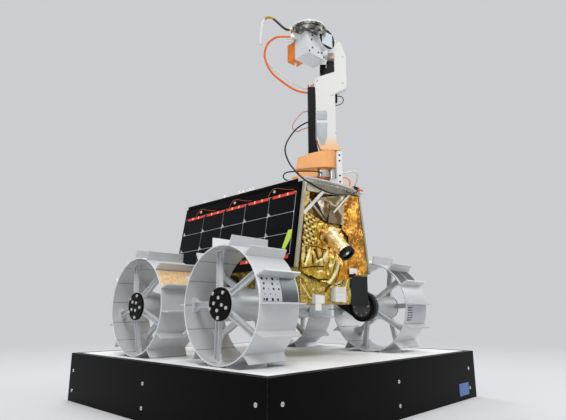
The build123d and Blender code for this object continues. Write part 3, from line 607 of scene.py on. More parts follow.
def newTube(name, kind, points, radius):
    data = bpy.data.curves.new(name, "CURVE")
    data.dimensions = "3D"
    data.bevel_depth = radius / 1000
    data.bevel_resolution = 4
    data.use_fill_caps = True
    line = data.splines.new(kind)
    line.points.add(len(points) - 1)
    for point, spot in zip(line.points, points):
        point.co = (*spot, 1)
    return addObject(name, data)


def meshOf(item):
    bpy.context.view_layer.update()
    return bpy.data.meshes.new_from_object(item.evaluated_get(bpy.context.evaluated_depsgraph_get()))


def cordCurve(name, route, radius):
    made = newTube(name, "NURBS", [roverPlace @ Vector(spot) for spot in route], radius)
    line = made.data.splines[0]
    line.order_u = 3
    line.use_endpoint_u = True
    line.resolution_u = 12
    return made


def tubeAlong(name, line, radius, finish):
    # a tube as a mesh, through points that were read from a cord's own curve
    holder = newTube(name + "Line", "POLY", line, radius)
    mesh = meshOf(holder)
    bpy.data.objects.remove(holder)
    for face in mesh.polygons:
        face.use_smooth = True
    mesh.name = name
    mesh.materials.append(finishes[finish])
    return addObject(name, mesh)


def readLine(curve):
    # the points along a cord's own curve, which is then removed
    curve.data.bevel_depth = 0
    points = [v.co.copy() for v in meshOf(curve).vertices]
    bpy.data.objects.remove(curve)
    return points


# sleeves on the camera cord: name, first and last share of its line, radius, finish
cameraSleeves = [
    ("camera_cord_sheath", 0.012, 0.27, 2.6, "cableBlack"),
    ("camera_cord_tape", 0.26, 0.37, 2.9, "tapeYellow"),
    ("camera_cord_sleeve", 0.36, 0.56, 2.9, "whitePlug"),
]


def addHeadCord(name, curve, radius, finish):
    # a cord from the head to the duct, with its sleeves, as meshes
    line = readLine(curve)
    piece = tubeAlong(name + "_line", line, radius, finish)
    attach(piece, "rover")
    sleeves = []
    for label, first, last, width, look in cameraSleeves if name == "camera_cord" else ():
        part = line[int(first * len(line)):int(last * len(line)) + 1]
        sleeves.append(tubeAlong(label, part, width, look))
    for item in [piece] + sleeves:
        item.parent = None
        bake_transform(item)
    return piece


def addCord(name, route, radius, length, finish):
    piece = cordCurve(name + "_line", route, radius)
    if name in ("camera_cord", "sensor_cord"):
        piece = addHeadCord(name, piece, radius, finish)
    else:
        piece.data.materials.append(finishes[finish])
        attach(piece, "rover")
    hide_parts(name)


for name, cord in cordLine.items():
    addCord(name, *cord)
print("cords laid:", len(cordLine))

# plinth: screws with their slots, and a blank label
plinth = {
    "screwHeights": (-139, -181), "screwRadius": 3.6, "screwRise": 0.9,
    "sides": ((-310, -1), (366, 1)), "sideRows": (319, 20, -281),   # x and the way out, and the screws' y
    "ends": ((-304, -1), (336, 1)), "endRows": (-281, 28, 333),     # y and the way out, and the screws' x
    "slotHalf": (2.4, 0.25, 0.35), "slotOut": 0.8,
    "label": ((277, -305.2, -194), (325, -304, -168)),
}


def dressPlinth(p):
    spots = []
    for z in p["screwHeights"]:
        spots += [(Vector((x, y, z)), Vector((out, 0, 0))) for y in p["sideRows"] for x, out in p["sides"]]
        spots += [(Vector((x, y, z)), Vector((0, out, 0))) for x in p["endRows"] for y, out in p["ends"]]
    rodPiece("plinth_screws", [(spot - out, spot + out * p["screwRise"]) for spot, out in spots],
             p["screwRadius"], "boltSteel", "steel", bevel=0.5)
    wide, deep, tall = p["slotHalf"]
    slots = []
    for spot, out in spots:
        half = Vector((deep, wide, tall) if out.x else (wide, deep, tall))
        middle = spot + out * p["slotOut"]
        slots.append((middle - half, middle + half))
    blockPiece("plinth_screw_slots", slots, "blackPlastic", "black_board")
    blockPiece("plinth_label", [p["label"]], "labelBlue", "black_board", bevel=0.4)


dressPlinth(plinth)

# wheels: hub bolts, spoke feet, weld seams, pale rings painted as highlights on the rim edges, and the sample
# panels between the lugs
wheelSpots = {
    # side and end of the rover, and the turn of the wheel in degrees
    "wheel_front_right": (-1, -1, 0.0), "wheel_rear_right": (-1, 1, 225.7),
    "wheel_front_left": (1, -1, -2.5), "wheel_rear_left": (1, 1, 12.0),
}
wheelSize = {"x": 267.5, "y": 141, "width": 91, "lugs": 14}
hubBolts = {"outer": (5, 23.0, 52.0), "inner": (4, 10.8, 8.0), "radius": 3.3, "height": 4.2, "sunk": 0.6}
spokeFeet = {
    "spokes": 5, "x": 24.0, "lean": 36,   # the far row stands half a step round
    "pad": (-9, 6), "padHeights": (-99.9, -98.2), "reach": 14.0,
    "gusset": 1.4, "gussetFrom": 5.2, "gussetFoot": -99, "gussetRise": 16.8,
}
seam = {"edge": 1, "low": -100.2, "high": -99.6, "half": 0.5}
# pale rings at both rim lips: painted highlight on the rim edges
rimEdge = {"at": (-0.3, 90.3), "half": 0.5, "inner": 100.1, "outer": 102.0}
lugStep = 360 / wheelSize["lugs"]
acrossWheel = Matrix(((0, 1, 0, 0), (0, 0, 1, 0), (1, 0, 0, 0), (0, 0, 0, 1)))   # turns a plate's outline


def wheelPlace(side, end, turn):
    where = Matrix.Translation((0, end * wheelSize["y"], 0))
    if side > 0:
        where = where @ Matrix.Rotation(pi, 4, "Z")
    return where @ Matrix.Translation((-wheelSize["x"], 0, 0)) @ Matrix.Rotation(radians(-turn), 4, "X")


def roundWheel(where, angle):
    return where @ Matrix.Rotation(radians(-angle), 4, "X")


def addHubBolts(name, where, b):
    spots = circle(*b["outer"]) + circle(*b["inner"])
    rodPiece(name + "_bolts", [((b["sunk"], y, z), (-b["height"], y, z)) for y, z in spots], b["radius"],
             "boltSteel", "steel", sides=12, bevel=0.5, place=where, body=name)


def addSpokeFeet(name, where, f):
    bm = bmesh.new()
    (back, front), (low, high), reach, floor = f["pad"], f["padHeights"], f["reach"], f["gussetFoot"]
    for i in range(f["spokes"]):
        for x, lean in ((f["x"], 0), (wheelSize["width"] - f["x"], f["lean"])):
            foot = roundWheel(where, 180 + lean + i * 360 / f["spokes"])
            addBlock(bm, (x + back, low, -reach), (x + front, high, reach), foot, bevel=0.5)
            for near, far in ((f["gussetFrom"], reach), (-f["gussetFrom"], -reach)):
                outline = [(near, floor), (far, floor), (near, floor + f["gussetRise"])]
                addPlate(bm, outline, x - f["gusset"], x, foot @ acrossWheel)
    newPiece(name + "_feet", bm, "wheelPaint", name)


def addSeams(name, where, s, rim):
    low = (s["edge"], s["low"], -s["half"])
    high = (wheelSize["width"] - s["edge"], s["high"], s["half"])
    bm = bmesh.new()
    for i in range(wheelSize["lugs"]):
        addBlock(bm, low, high, roundWheel(where, i * lugStep))
    newPiece(name + "_seams", bm, "seamGrey", name)
    near, far, half = rim["inner"], rim["outer"], rim["half"]
    profile = [(-half, near), (-half, far), (half, far), (half, near)]
    ringPiece(name + "_rim_highlight_rings", [(profile, (x, 0, 0)) for x in rim["at"]], "rimEdge", "wheel_grey",
              (1, 0, 0), 96, where, name)


for name, spot in wheelSpots.items():
    where = wheelPlace(*spot)
    addHubBolts(name, where, hubBolts)
    addSpokeFeet(name, where, spokeFeet)
    addSeams(name, where, seam, rimEdge)

flange = {
    "face": 152.2, "outer": 34.5, "inner": 29.5, "rise": 2.4, "taper": (0.8, 1.2),
    "disc": 24.0, "discRise": 1.6, "screws": 8, "screwRing": 19.0, "screwRadius": 1.7,
}


def addFlanges(f):
    # what closes each motor on the inner face of the rockers
    rings, discs, screws = bmesh.new(), bmesh.new(), bmesh.new()
    (inside, outside), rise = f["taper"], f["rise"]
    profile = [(0, f["inner"]), (rise, f["inner"] + inside), (rise, f["outer"] - outside), (0, f["outer"])]
    for side in (-1, 1):
        inward = Vector((-side, 0, 0))
        for end in (-1, 1):
            start = Vector((side * f["face"], end * wheelSize["y"], 0))
            near = start + inward * f["discRise"]
            addRing(rings, profile, start, inward)
            addRod(discs, start, near, f["disc"], sides=40, bevel=0.5)
            for y, z in circle(f["screws"], f["screwRing"]):
                spot = near + Vector((0, y, z))
                addRod(screws, spot, spot + inward, f["screwRadius"], sides=12, bevel=0.3)
    newPiece("flange_rings", rings, "hubBlack")
    newPiece("flange_discs", discs, "motorGrey")
    newPiece("flange_screws", screws, "boltSteel")


addFlanges(flange)

samplePanels = {
    # wheel, first lug, edges across the wheel in mm, finish, slot
    "sample_white": ("wheel_front_right", 0, (4.5, 49.0), "cellBacking", "wheel_grey"),
    "sample_dark": ("wheel_front_right", 0, (50.0, 88.0), "motorGrey", "wheel_grey"),
    "sample_gold": ("wheel_rear_right", 6, (3.0, 88.0), "peachPanel", "gold_film"),
    "sample_light": ("wheel_front_left", 7, (3.0, 88.0), "cellBacking", "wheel_grey"),
    "sample_window_near": ("wheel_front_left", 5, (49.0, 84.0), "motorGrey", "wheel_grey"),
    "sample_window_far": ("wheel_front_left", 5, (8.0, 43.0), "motorGrey", "wheel_grey"),
}
sampleFit = {"radii": (101.8, 103.0), "markRadii": (102.6, 103.25), "margin": 1.6}   # margin in degrees

# dots of the two chequered panels: half the height of a mark, where all are alike, and the rows across the
# arc, each an angle and its marks as (distance across, size)
chequers = {
    "sample_squares": ("wheel_front_right", 0, None, [
        (3.4, [(8, 3.0), (14, 4.2), (27, 4.4), (39, 3.6)]), (8.2, [(10, 1.6), (22, 1.8), (34, 1.6)]),
        (12.9, [(9, 3.4), (20, 1.8), (31, 3.6), (43, 3.2)]), (17.6, [(11, 3.6), (30, 3.8), (43, 1.8)]),
        (22.4, [(9, 4.4), (20, 3.0), (33, 4.6), (44, 2.0)])]),
    "sample_dashes": ("wheel_front_left", 7, 1.3, [
        (4.4, [(82, 5.0), (75, 4.4), (68, 4.4)]), (7.4, [(82, 5.0), (75, 4.4), (68, 2.2)]),
        (10.4, [(82, 5.0), (75, 4.4), (68, 4.4)]), (13.4, [(82, 5.0), (75, 2.4), (68, 4.4)]),
        (16.4, [(82, 5.0), (75, 4.4), (68, 4.4)]), (19.4, [(82, 5.0), (75, 4.4), (68, 2.2)])]),
}


def addSamplePanels(fit):
    for name, (wheel, lug, (x0, x1), look, slot) in samplePanels.items():
        bm = bmesh.new()
        first, last = lug * lugStep + fit["margin"], (lug + 1) * lugStep - fit["margin"]
        addPatch(bm, *fit["radii"], x0, x1, first, last, wheelPlace(*wheelSpots[wheel]))
        newPiece(name, bm, look, wheel)
    inner, outer = fit["markRadii"]
    for name, (wheel, lug, tall, rows) in chequers.items():
        bm = bmesh.new()
        for angle, marks in rows:
            tilt = roundWheel(wheelPlace(*wheelSpots[wheel]), lug * lugStep + angle)
            for x, size in marks:
                half = tall or size / 2
                addBlock(bm, (x - size / 2, -outer, -half), (x + size / 2, -inner, half), tilt)
        newPiece(name, bm, "blackPlastic", wheel)


addSamplePanels(sampleFit)
print("wheels dressed")

# solar panels: cells with cropped corners on a pale backing, red strips and dots, wires, screws and clips
solar = {
    "front": -169.3, "pitch": 75.7, "columns": 5, "rows": (19.5, 63.0, 107.0, 151.0), "rise": 0.021,
    "gap": 0.75, "crop": 2.0, "corner": 8.5,
    # how far each lies off the panel's face, from and to
    "backing": (-0.2, 0.5), "cells": (0.4, 1.1), "stripFaces": (0.6, 1.6), "dotFaces": (1.2, 2.1),
    "strips": (22.5, 156.0), "stripHalf": 3.2, "stripEnds": (2.0, 9.5), "dots": (0.32, 0.68), "dotHalf": 1.7,
    "screws": (-106, 22, 150), "screwDown": 9, "screwEnds": (-0.5, 2.4), "screwRadius": 4.2, "screwTip": 3.4,
    "clips": ((153, 7), (75, 7), (22, 8), (8, 11), (-14, 12), (-26, 7)),   # x and length
    "clipSpan": ((-13.5, -9.5), (-7.6, -4.0)), "clipPin": ((-12, -7), (-18.5, -7)), "pinRadii": (2.4, 1.6),
    # a wire arches over each screw from the strip below, with a straight tail towards the front
    "wire": ((17, 12, 1.5), (12, 2, 3.0), (3, -5.5, 3.4), (-9, -6, 3.2), (-22, -2, 2.4), (-40, 2.5, 1.8),
             (-58, 5.5, 1.4)), "wireRadius": 0.7,
}
panelEdge = {"top": (-97.1, 245), "down": (-29, -175)}   # x and z of the right panel's upper edge, and slope


def panelPlace(side):
    # x runs along the rover, y down the slope and z outwards from the panel's face
    (x, z), (dx, dz) = panelEdge["top"], panelEdge["down"]
    down = Vector((dx, 0, dz)).normalized()
    out = Vector((0, 1, 0)).cross(down)
    where = Matrix(((0, down.x, out.x, x), (1, down.y, out.y, 0), (0, down.z, out.z, z), (0, 0, 0, 1)))
    return where if side < 0 else Matrix.Scale(-1, 4, (1, 0, 0)) @ where


def addCells(label, tilt, s):
    x0, gap, crop, corner = s["front"], s["gap"], s["crop"], s["corner"]
    outlines = []
    for column in range(s["columns"]):
        a, b = x0 + column * s["pitch"] + gap, x0 + (column + 1) * s["pitch"] - gap
        for top, bottom in zip(s["rows"], s["rows"][1:]):
            c, d = -top - gap, gap - bottom
            outlines.append([(a + crop, c), (b - crop, c), (b, c - crop), (b, d + corner), (b - corner, d),
                             (a + crop, d), (a, d + crop), (a, c - crop)])
    platePiece(label + "cells", outlines, *s["cells"], "solarCell", "solar_cells", place=tilt @ lying)


def addStrips(label, tilt, s):
    strips, dots = [], []
    half, wide, (before, after) = s["stripHalf"], s["dotHalf"], s["stripEnds"]
    (low, high), (dotLow, dotHigh) = s["stripFaces"], s["dotFaces"]
    for y in s["strips"]:
        for column in range(s["columns"]):
            a, b = s["front"] + column * s["pitch"] + before, s["front"] + (column + 1) * s["pitch"] - after
            strips.append(((a, y - half, low), (b, y + half, high)))
            for x in [a + (b - a) * share for share in s["dots"]]:
                dots.append(((x - wide, y - half, dotLow), (x + wide, y + half, dotHigh)))
    blockPiece(label + "strips", strips, "stripRed", "solar_cells", bevel=0.3, place=tilt)
    blockPiece(label + "strip_dots", dots, "stripDot", "solar_cells", bevel=0.3, place=tilt)


def dressSolarPanel(side, s):
    where = panelPlace(side)
    label = "solar_right_" if side < 0 else "solar_left_"
    x0, x1 = s["front"], s["front"] + s["pitch"] * s["columns"]
    shear = Matrix(((1, 0, 0, 0), (s["rise"], 1, 0, 0), (0, 0, 1, 0), (0, 0, 0, 1)))
    tilt = where @ Matrix.Translation((x0, 0, 0)) @ shear @ Matrix.Translation((-x0, 0, 0))
    low, high = s["backing"]
    blockPiece(label + "backing", [((x0, s["rows"][0], low), (x1, s["rows"][-1], high))], "cellBacking",
               "solar_cells", place=tilt)
    addCells(label, tilt, s)
    addStrips(label, tilt, s)
    spots = [(x, s["screwDown"] + (x - x0) * s["rise"]) for x in s["screws"]]
    low, high = s["screwEnds"]
    rodPiece(label + "screws", [((x, y, low), (x, y, high)) for x, y in spots], s["screwRadius"], "boltSteel",
             "steel", s["screwTip"], 20, 0.5, place=where)
    (low, high), (foot, end), (radius, tip) = s["clipSpan"], s["clipPin"], s["pinRadii"]
    bm = bmesh.new()
    for x, length in s["clips"]:
        addBlock(bm, (x - length / 2, *low), (x + length / 2, *high), where, bevel=0.8, segments=2)
        addRod(bm, (x, *foot), (x, *end), radius, tip, 10, where, bevel=0.4)
    newPiece(label + "clips", bm, "whitePlug")
    wires = []
    for x, y in spots:
        line = [(x + along, y + down, out) for along, down, out in s["wire"]]
        wires += zip(line, line[1:])
    rodPiece(label + "wires", wires, s["wireRadius"], "copper", "solar_cells", sides=8, place=where)


for side in (-1, 1):
    dressSolarPanel(side, solar)

panelTape = {
    "outline": [(-160, -101.5), (-171.5, -101.5), (-168.5, -120), (-157, -140.5), (-147.5, -138)],
    "faces": (1.3, 1.8),
}
platePiece("panel_tape", [panelTape["outline"]], *panelTape["faces"], "limeTape", "solar_cells",
           place=panelPlace(-1) @ lying)
print("solar panels dressed")


# Front of the body: sheets of film that stand off their plates in folds.
def sheetFromQuads(quads, cuts, y):
    bm = bmesh.new()
    for quad in quads:
        bm.faces.new([bm.verts.new((x, y, z)) for x, z in quad])
    bmesh.ops.remove_doubles(bm, verts=bm.verts, dist=0.01)
    bmesh.ops.subdivide_edges(bm, edges=bm.edges[:], cuts=cuts, use_grid_fill=True)
    return bm


def held(value):
    return min(1.0, max(0.0, value))


def wrinkle(x, z, size, seed):
    # smooth noise over the sheet, at so many cycles in a millimetre
    return noise.noise(Vector((x * size, z * size, seed)))


# the slope read here sets the painted shade and highlight of the folds
foldStep = (1.2, -0.8)   # how far to each side the slope is felt, along x and z
foldRise = 2.4           # from the darkest drawn fold to the brightest


def raiseSheet(bm, relief, gain, lines=(), bulge=None, warmth=None):
    # lifts the sheet off its plate and keeps, from 0 to 1, the painted shade and highlight of its folds, from
    # their slope and the drawn folds, and the warmth of its film
    across, up = foldStep
    foldShade = bm.verts.layers.float.new("paintedFoldShade")
    warm = bm.verts.layers.float.new("foldWarm")
    for v in bm.verts:
        x, z = v.co.x, v.co.z
        slope = relief(x - across, z - up) - relief(x + across, z + up)
        hold, level = lineHold(x, z, lines)
        v[foldShade] = (1 - hold) * held(0.5 - slope * gain) + hold * level
        v[warm] = warmth(x, z) if warmth else 0.0
        v.co.y -= relief(x, z) + (bulge(x, z) if bulge else 0) + hold * (level - 0.5) * foldRise


def lineHold(x, z, lines):
    # how strongly the nearest drawn fold holds this spot, and the fold's painted level from shade to
    # highlight
    hold, foldShade = 0.0, 0.5
    for level, half, points in lines:
        for (xa, za), (xb, zb) in zip(points, points[1:]):
            dx, dz = xb - xa, zb - za
            share = held(((x - xa) * dx + (z - za) * dz) / (dx * dx + dz * dz))
            away = sqrt((x - xa - dx * share) ** 2 + (z - za - dz * share) ** 2)
            here = min(1.0, 1.7 * (1 - away / half))   # flat over the middle two fifths
            if here > hold:
                hold, foldShade = here, level
    return hold, foldShade


foilLines = [
    # painted shade and highlight along the folds: level from 0 dark to 1 bright, half width in mm, and the
    # fold's line as (x, z) points
    (0.9, 3.2, ((-84, 110), (-91, 93), (-100, 75))), (1, 4.2, ((-34, 107), (-42, 98), (-50, 91))),
    (0.95, 2.6, ((-54, 89), (-72, 83))), (1, 5, ((0, 89), (-8, 68), (-25, 50), (-35, 43))),
    (1, 2.4, ((-17, 87), (-20, 81), (-32, 76))), (0.9, 2, ((-70, 63), (-54, 66))),
    (0.85, 1.6, ((-100, 53), (-82, 48), (-61, 44), (-40, 42))),
    (0.9, 1.8, ((-13, 131), (-2, 122), (8, 111))), (0.85, 2.6, ((-111, 104), (-112, 84))),
    (0.08, 2.8, ((-97, 106), (-93, 99), (-102, 81))), (0.12, 1.9, ((-89, 114), (-59, 114), (-37, 110))),
    (0.05, 2.4, ((-28, 116), (-23, 114))), (0.15, 3.2, ((-72, 107), (-68, 91))),
    (0.1, 2.4, ((-81, 95), (-81, 80))), (0.12, 1.8, ((-105, 69), (-78, 74), (-48, 75))),
    (0.2, 1.8, ((-44, 107), (-63, 88))), (0.12, 2.6, ((-88, 55), (-67, 48), (-39, 50))),
    (0.22, 2.2, ((8, 81), (-1, 60), (-12, 46))), (0.25, 2.4, ((-111, 80), (-108, 65), (-104, 60))),
    (0.2, 1.8, ((-4, 109), (-12, 88), (-19, 67))),
]
bellyLines = [
    # painted shade and highlight along the belly's folds, laid out as above
    (0.9, 1.5, ((-113, 46), (-100, 32), (-86, 17), (-71, 8))),
    (0.25, 2.2, ((-101, 47), (-91, 32), (-77, 18))), (1, 3.4, ((24, 56), (11, 48), (-1, 42))),
    (0.9, 2.4, ((41, 54), (32, 37))), (0.8, 2.2, ((34, 29), (39, 12))),
    (0.1, 4.5, ((-14, 42), (-29, 34), (-34, 28))), (0.15, 2.2, ((-112, 52), (-105, 48))),
    (0.1, 2.6, ((30, 60), (23, 45))), (0.15, 2, ((-4, 41), (16, 43))),
]
foil = {
    "quiltFrom": 114, "quiltEdge": -72, "quilt": 2.5, "quiltSize": (12.0, 8.0),
    "pleat": 2.8, "pleatWidth": 17.0, "pleatFoot": 70, "pleatFade": 14,
    "pouch": (-38, 66, 66, 46), "pouchRise": 6,   # its middle's x and z, and its half sizes
    # noise: cycles in a millimetre, its seed and its height in millimetres
    "crumples": ((0.06, 4.1, 5), (0.16, 8.3, 1.2)), "wander": ((0.03, 0.02), 1.7, 14),
}


def foilRelief(x, z):
    # how far the front foil stands off its plate: quilted by the frame, crumpled at the top, pleated below
    (across, up), seed, reach = foil["wander"]
    wander = noise.noise(Vector((x * across, z * up, seed))) * reach
    crumple = sum(abs(wrinkle(x, z, size, seed)) * high for size, seed, high in foil["crumples"])
    above = z - foil["quiltFrom"]
    if above > 0 and x < foil["quiltEdge"] + above * 0.1:
        wide, tall = foil["quiltSize"]
        rows = 1 + cos(x * 2 * pi / wide + z * 0.25)
        columns = 1 + cos(z * 2 * pi / tall + x * 0.25)
        return 1.2 + foil["quilt"] * rows * columns / 2
    if above > 0:
        return 1 + crumple * 0.9
    pleat = abs(((x + wander * 0.5) / foil["pleatWidth"] % 1.0) * 2 - 1)   # a triangle wave
    share = held((z - foil["pleatFoot"]) / foil["pleatFade"])
    return 1.6 + crumple * 0.4 + pleat * foil["pleat"] * share


def pouchRise(x, z):
    # the large soft bulge of the film under the front camera
    xMiddle, zMiddle, wide, tall = foil["pouch"]
    return foil["pouchRise"] * sqrt(max(0.0, 1 - ((x - xMiddle) / wide) ** 2 - ((z - zMiddle) / tall) ** 2))


def foilWarmth(x, z):
    # the film is more orange under the front camera and along its tube
    edge = 10 + (z - 100) * 0.39 if z < 100 else -20 - (z - 100) * 0.5
    return held((x - edge + 8 * wrinkle(x, z, 0.08, 3.1)) / 6) if z < 152 else 0.0


# the other sheets lie closer, in soft creases
def wingRelief(x, z):
    return 3.0 * wrinkle(x, z, 0.035, 2.2) + 1.2 * abs(wrinkle(x, z, 0.1, 5))


def bellyRelief(x, z):
    return 0.4 + 2.4 * abs(wrinkle(x, z, 0.05, 7.7))


def bayRelief(x, z):
    return 3.5 * abs(wrinkle(x, z, 0.05, 6.1))


sheets = {
    # each sheet's quads as (x, z) corners, cuts, the y of its plate, thickness and the angle kept sharp
    "front_foil_sheet": ([
        [(-113.5, 64), (-78, 50), (-78, 114), (-105.4, 120)],
        [(-105.4, 120), (-78, 114), (-78, 175.6), (-96.8, 180)],
        [(-78, 50), (-24, 41), (-24, 110), (-78, 114)], [(-78, 114), (-24, 110), (-24, 164), (-78, 175.6)],
        [(-24, 41), (4, 50), (43, 110), (-24, 110)], [(4, 50), (52, 58), (48, 84), (43, 110)],
        [(-24, 110), (43, 110), (18, 160), (-24, 164)]], 44, -186.0, 0.6, 24),
    "foil_wing_sheet": ([
        [(52, 60), (111.5, 76), (99.7, 147), (43, 147)], [(43, 147), (99.7, 147), (84, 243), (46, 240)],
        [(20, 162), (43, 147), (46, 240), (24, 208)]], 40, -188.5, 1.2, 30),
    "belly_foil_sheet": ([[(-109, 5), (49, 5), (50, 60), (-113.5, 66)]], 60, -184.6, 0.6, 24),
    "bay_foil_sheet": ([[(-80, 168), (45, 120), (47, 240), (-82, 240)]], 40, -167.5, 0.6, 24),
}


def addSheet(name, finish, relief, gain=0.5, hides=(), **more):
    quads, cuts, y, thickness, sharpAngle = sheets[name]
    bm = sheetFromQuads(quads, cuts, y)
    raiseSheet(bm, relief, gain, **more)
    bmesh.ops.solidify(bm, geom=bm.faces[:], thickness=thickness)
    newPiece(name, bm, finish, hides=hides, sharpAngle=sharpAngle)


hopper = {
    # the grey pyramid of film that hangs in the bay: its top corners, its tip, and the flap in front of it
    "top": ((-62, -186, 216), (44, -188, 238), (40, -160, 242), (-58, -158, 240)), "tip": (-29, -189, 169),
    "flap": [(-28, 168), (24, 170), (30, 214), (-20, 206)], "flapFaces": (-190.5, -189.3),
    "cuts": 12, "sway": 3, "swaySize": 0.06, "thickness": 0.6,
}


def addHopper(h):
    bm = bmesh.new()
    ring = [bm.verts.new(spot) for spot in h["top"]]
    tip = bm.verts.new(h["tip"])
    for pair in zip(ring, ring[1:] + ring[:1]):
        bm.faces.new((*pair, tip))
    bmesh.ops.subdivide_edges(bm, edges=bm.edges[:], cuts=h["cuts"], use_grid_fill=True)
    for v in bm.verts:
        v.co.y += h["sway"] * noise.noise(v.co * h["swaySize"])
    bmesh.ops.recalc_face_normals(bm, faces=bm.faces[:])
    bmesh.ops.solidify(bm, geom=bm.faces[:], thickness=h["thickness"])
    newPiece("grey_foil_hopper", bm, "greyFoil", sharpAngle=22)
    platePiece("grey_foil_flap", [h["flap"]], *h["flapFaces"], "greyFoil", "gold_film")


bay = {
    # the plate along the bay's top, and the two flat bars across its opening: ends, half width and y
    "header": [(-88, 244.5), (-86, 226), (-34, 229), (46, 237), (46, 244.5)], "headerFaces": (-185.4, -186.0),
    "bars": (((48, 240), (-11, 191), 2.2, -191.6), ((-102, 177), (-38, 233), 3.4, -188.6)), "barDepth": 1.0,
}


def addBay(b):
    bm = bmesh.new()
    for (xa, za), (xb, zb), half, y in b["bars"]:
        away = Vector((za - zb, xb - xa)).normalized() * half
        outline = [(xa + away.x, za + away.y), (xb + away.x, zb + away.y), (xb - away.x, zb - away.y),
                   (xa - away.x, za - away.y)]
        addPlate(bm, outline, y, y - b["barDepth"])
    newPiece("bay_bars", bm, "braceGrey")
    platePiece("bay_header", [b["header"]], *b["headerFaces"], "frameOlive", "bare_aluminium")


addBay(bay)
addSheet("front_foil_sheet", "goldFoil", foilRelief, 0.22, ["front_foil"], lines=foilLines, bulge=pouchRise,
         warmth=foilWarmth)
addSheet("foil_wing_sheet", "goldWing", wingRelief, hides=["foil_wing_panel"])
addSheet("belly_foil_sheet", "goldBelly", bellyRelief, 0.3, lines=bellyLines)
# a dark block at the belly's corner: painted shade for the shaded gap there
blockPiece("belly_shade_block", [((49.5, -187.4, 2.5), (112, -183, 64))], "rockerBlack", "gold_film", 0.5)
addSheet("bay_foil_sheet", "recessGold", bayRelief)
addHopper(hopper)

frontBits = {
    "labels": (((-76, -195, 3), (-49, -193.6, 18.5)), ((-77, -194.8, -10.5), (-58.5, -193.6, 3)),
               ((-13, -195, 7), (21.5, -193.6, 37.5))),
    "ridges": [((-9, -195.1, z), (16, -195.1, z + 0.8)) for z in (14.5, 18.5, 26.0)], "ridgeRadius": 0.5,
    "wingLabel": ((40, -192.2, 66), (68, -190, 78.5)),
    "stud": ((43, -190, 60.5), (58, -192.5, 66)), "studRadius": 3.0,
}


def addFrontBits(f):
    bm = bmesh.new()
    for low, high in f["labels"]:
        addBlock(bm, low, high, bevel=0.5)
    for start, end in f["ridges"]:
        addRod(bm, start, end, f["ridgeRadius"], sides=8)
    newPiece("front_labels", bm, "whitePlug")
    blockPiece("wing_label", [f["wingLabel"]], "whitePlug", "bare_aluminium", 0.8, 2)
    rodPiece("wing_stud", [f["stud"]], f["studRadius"], "blackPlastic", "black_plastic", sides=12, bevel=0.8)


addFrontBits(frontBits)
print("front dressed")

# front camera: its collar, and the lens at the tube's end with a painted glint on it
frontCamera = {
    "seat": (-26.5, -190, 148), "aim": (-0.035, -0.694, -0.719), "length": 63,
    "lens": (3.6, 5.6, 10.8),           # from and to along the aim, and radius
    # a pale disc set aside on the lens: painted glint
    "eye": (5.2, 6.4, 4.4, 3.8, 1.5),   # the same, with the tip's radius and the step aside
    "collar": [(-4, 14.2), (6, 14.2), (7.5, 15.6), (3, 17.0), (-3, 15.6)], "collarOut": 4,
}


def addFrontCamera(c):
    aim = Vector(c["aim"]).normalized()
    seat = Vector(c["seat"])
    end = seat + aim * c["length"]
    near, far, radius = c["lens"]
    rodPiece("front_camera_lens", [(end + aim * near, end + aim * far)], radius, "lensDark", "black_plastic",
             sides=32, bevel=0.6)
    near, far, radius, tip, aside = c["eye"]
    side = end + aim.orthogonal().normalized() * aside
    rodPiece("front_camera_eye", [(side + aim * near, side + aim * far)], radius, "lensGlass",
             "black_plastic", tip, 24, 0.4)
    rings = [(c["collar"], seat + aim * c["collarOut"])]
    ringPiece("front_camera_collar", rings, "tubeGold", "gold_film", aim)


addFrontCamera(frontCamera)

# deck: small things that stand on it, a painted highlight along its bowed lip and bright metal under it, and
# its black edges
deckThings = {
    # low corner, high corner, finish, slot
    "deck_beige_block": ((-97, -168, 253), (-79, -152, 258.5), "orangePrint", "orange_print"),
    "deck_peach_plate": ((6, -198, 253), (62, -186, 258.5), "orangePrint", "orange_print"),
    "deck_green_box": ((57, -199, 253), (69, -195, 258), "blackPlastic", "black_plastic"),
    "deck_red_plug": ((72, -199.5, 253), (91, -195, 258.5), "stripRed", "cable_red"),
    "deck_white_plug": ((78, -200, 249.6), (94, -196, 253), "whitePlug", "white_plug"),
}
lip = {"half": 97.5, "front": -190.2, "bow": 14.0, "z": 252.2, "steps": 28, "line": 0.9, "back": -186,
       "under": (244.9, 244.4), "inset": 0.6}
deckEdge = {"half": 0.7, "front": -172, "back": 0.5, "low": 0.3, "high": 1.4}


def addDeckLip(s):
    bend = (s["half"] ** 2 + s["bow"] ** 2) / (2 * s["bow"])
    steps = [s["half"] * (2 * i / s["steps"] - 1) for i in range(s["steps"] + 1)]
    arc = [Vector((x, s["front"] - s["bow"] + bend - sqrt(bend ** 2 - x ** 2), s["z"])) for x in steps]
    # a thin pale rod along the lip's edge: painted highlight
    rodPiece("deck_lip_highlight", zip(arc, arc[1:]), s["line"], "rimEdge", "deck_white", sides=8)
    outline = [(p.x, -p.y - s["inset"]) for p in arc]
    outline += [(s["half"] - 1, -s["back"]), (1 - s["half"], -s["back"])]
    platePiece("deck_lip_underside", [outline], *s["under"], "lipSilver", "deck_white", place=lying)


def addDeckEdges(e):
    low, high = [roverPlace.inverted() @ Vector(corner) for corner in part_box("top_deck")]
    for name, x in (("deck_edge_right", low.x), ("deck_edge_left", high.x)):
        near = (x - e["half"], e["front"], low.z - e["low"])
        far = (x + e["half"], high.y - e["back"], high.z - e["high"])
        blockPiece(name, [(near, far)], "panelBlack", "solar_cells", 0.3)


for name, (low, high, look, slot) in deckThings.items():
    blockPiece(name, [(low, high)], look, slot, 0.9, 2)
addDeckLip(lip)
addDeckEdges(deckEdge)

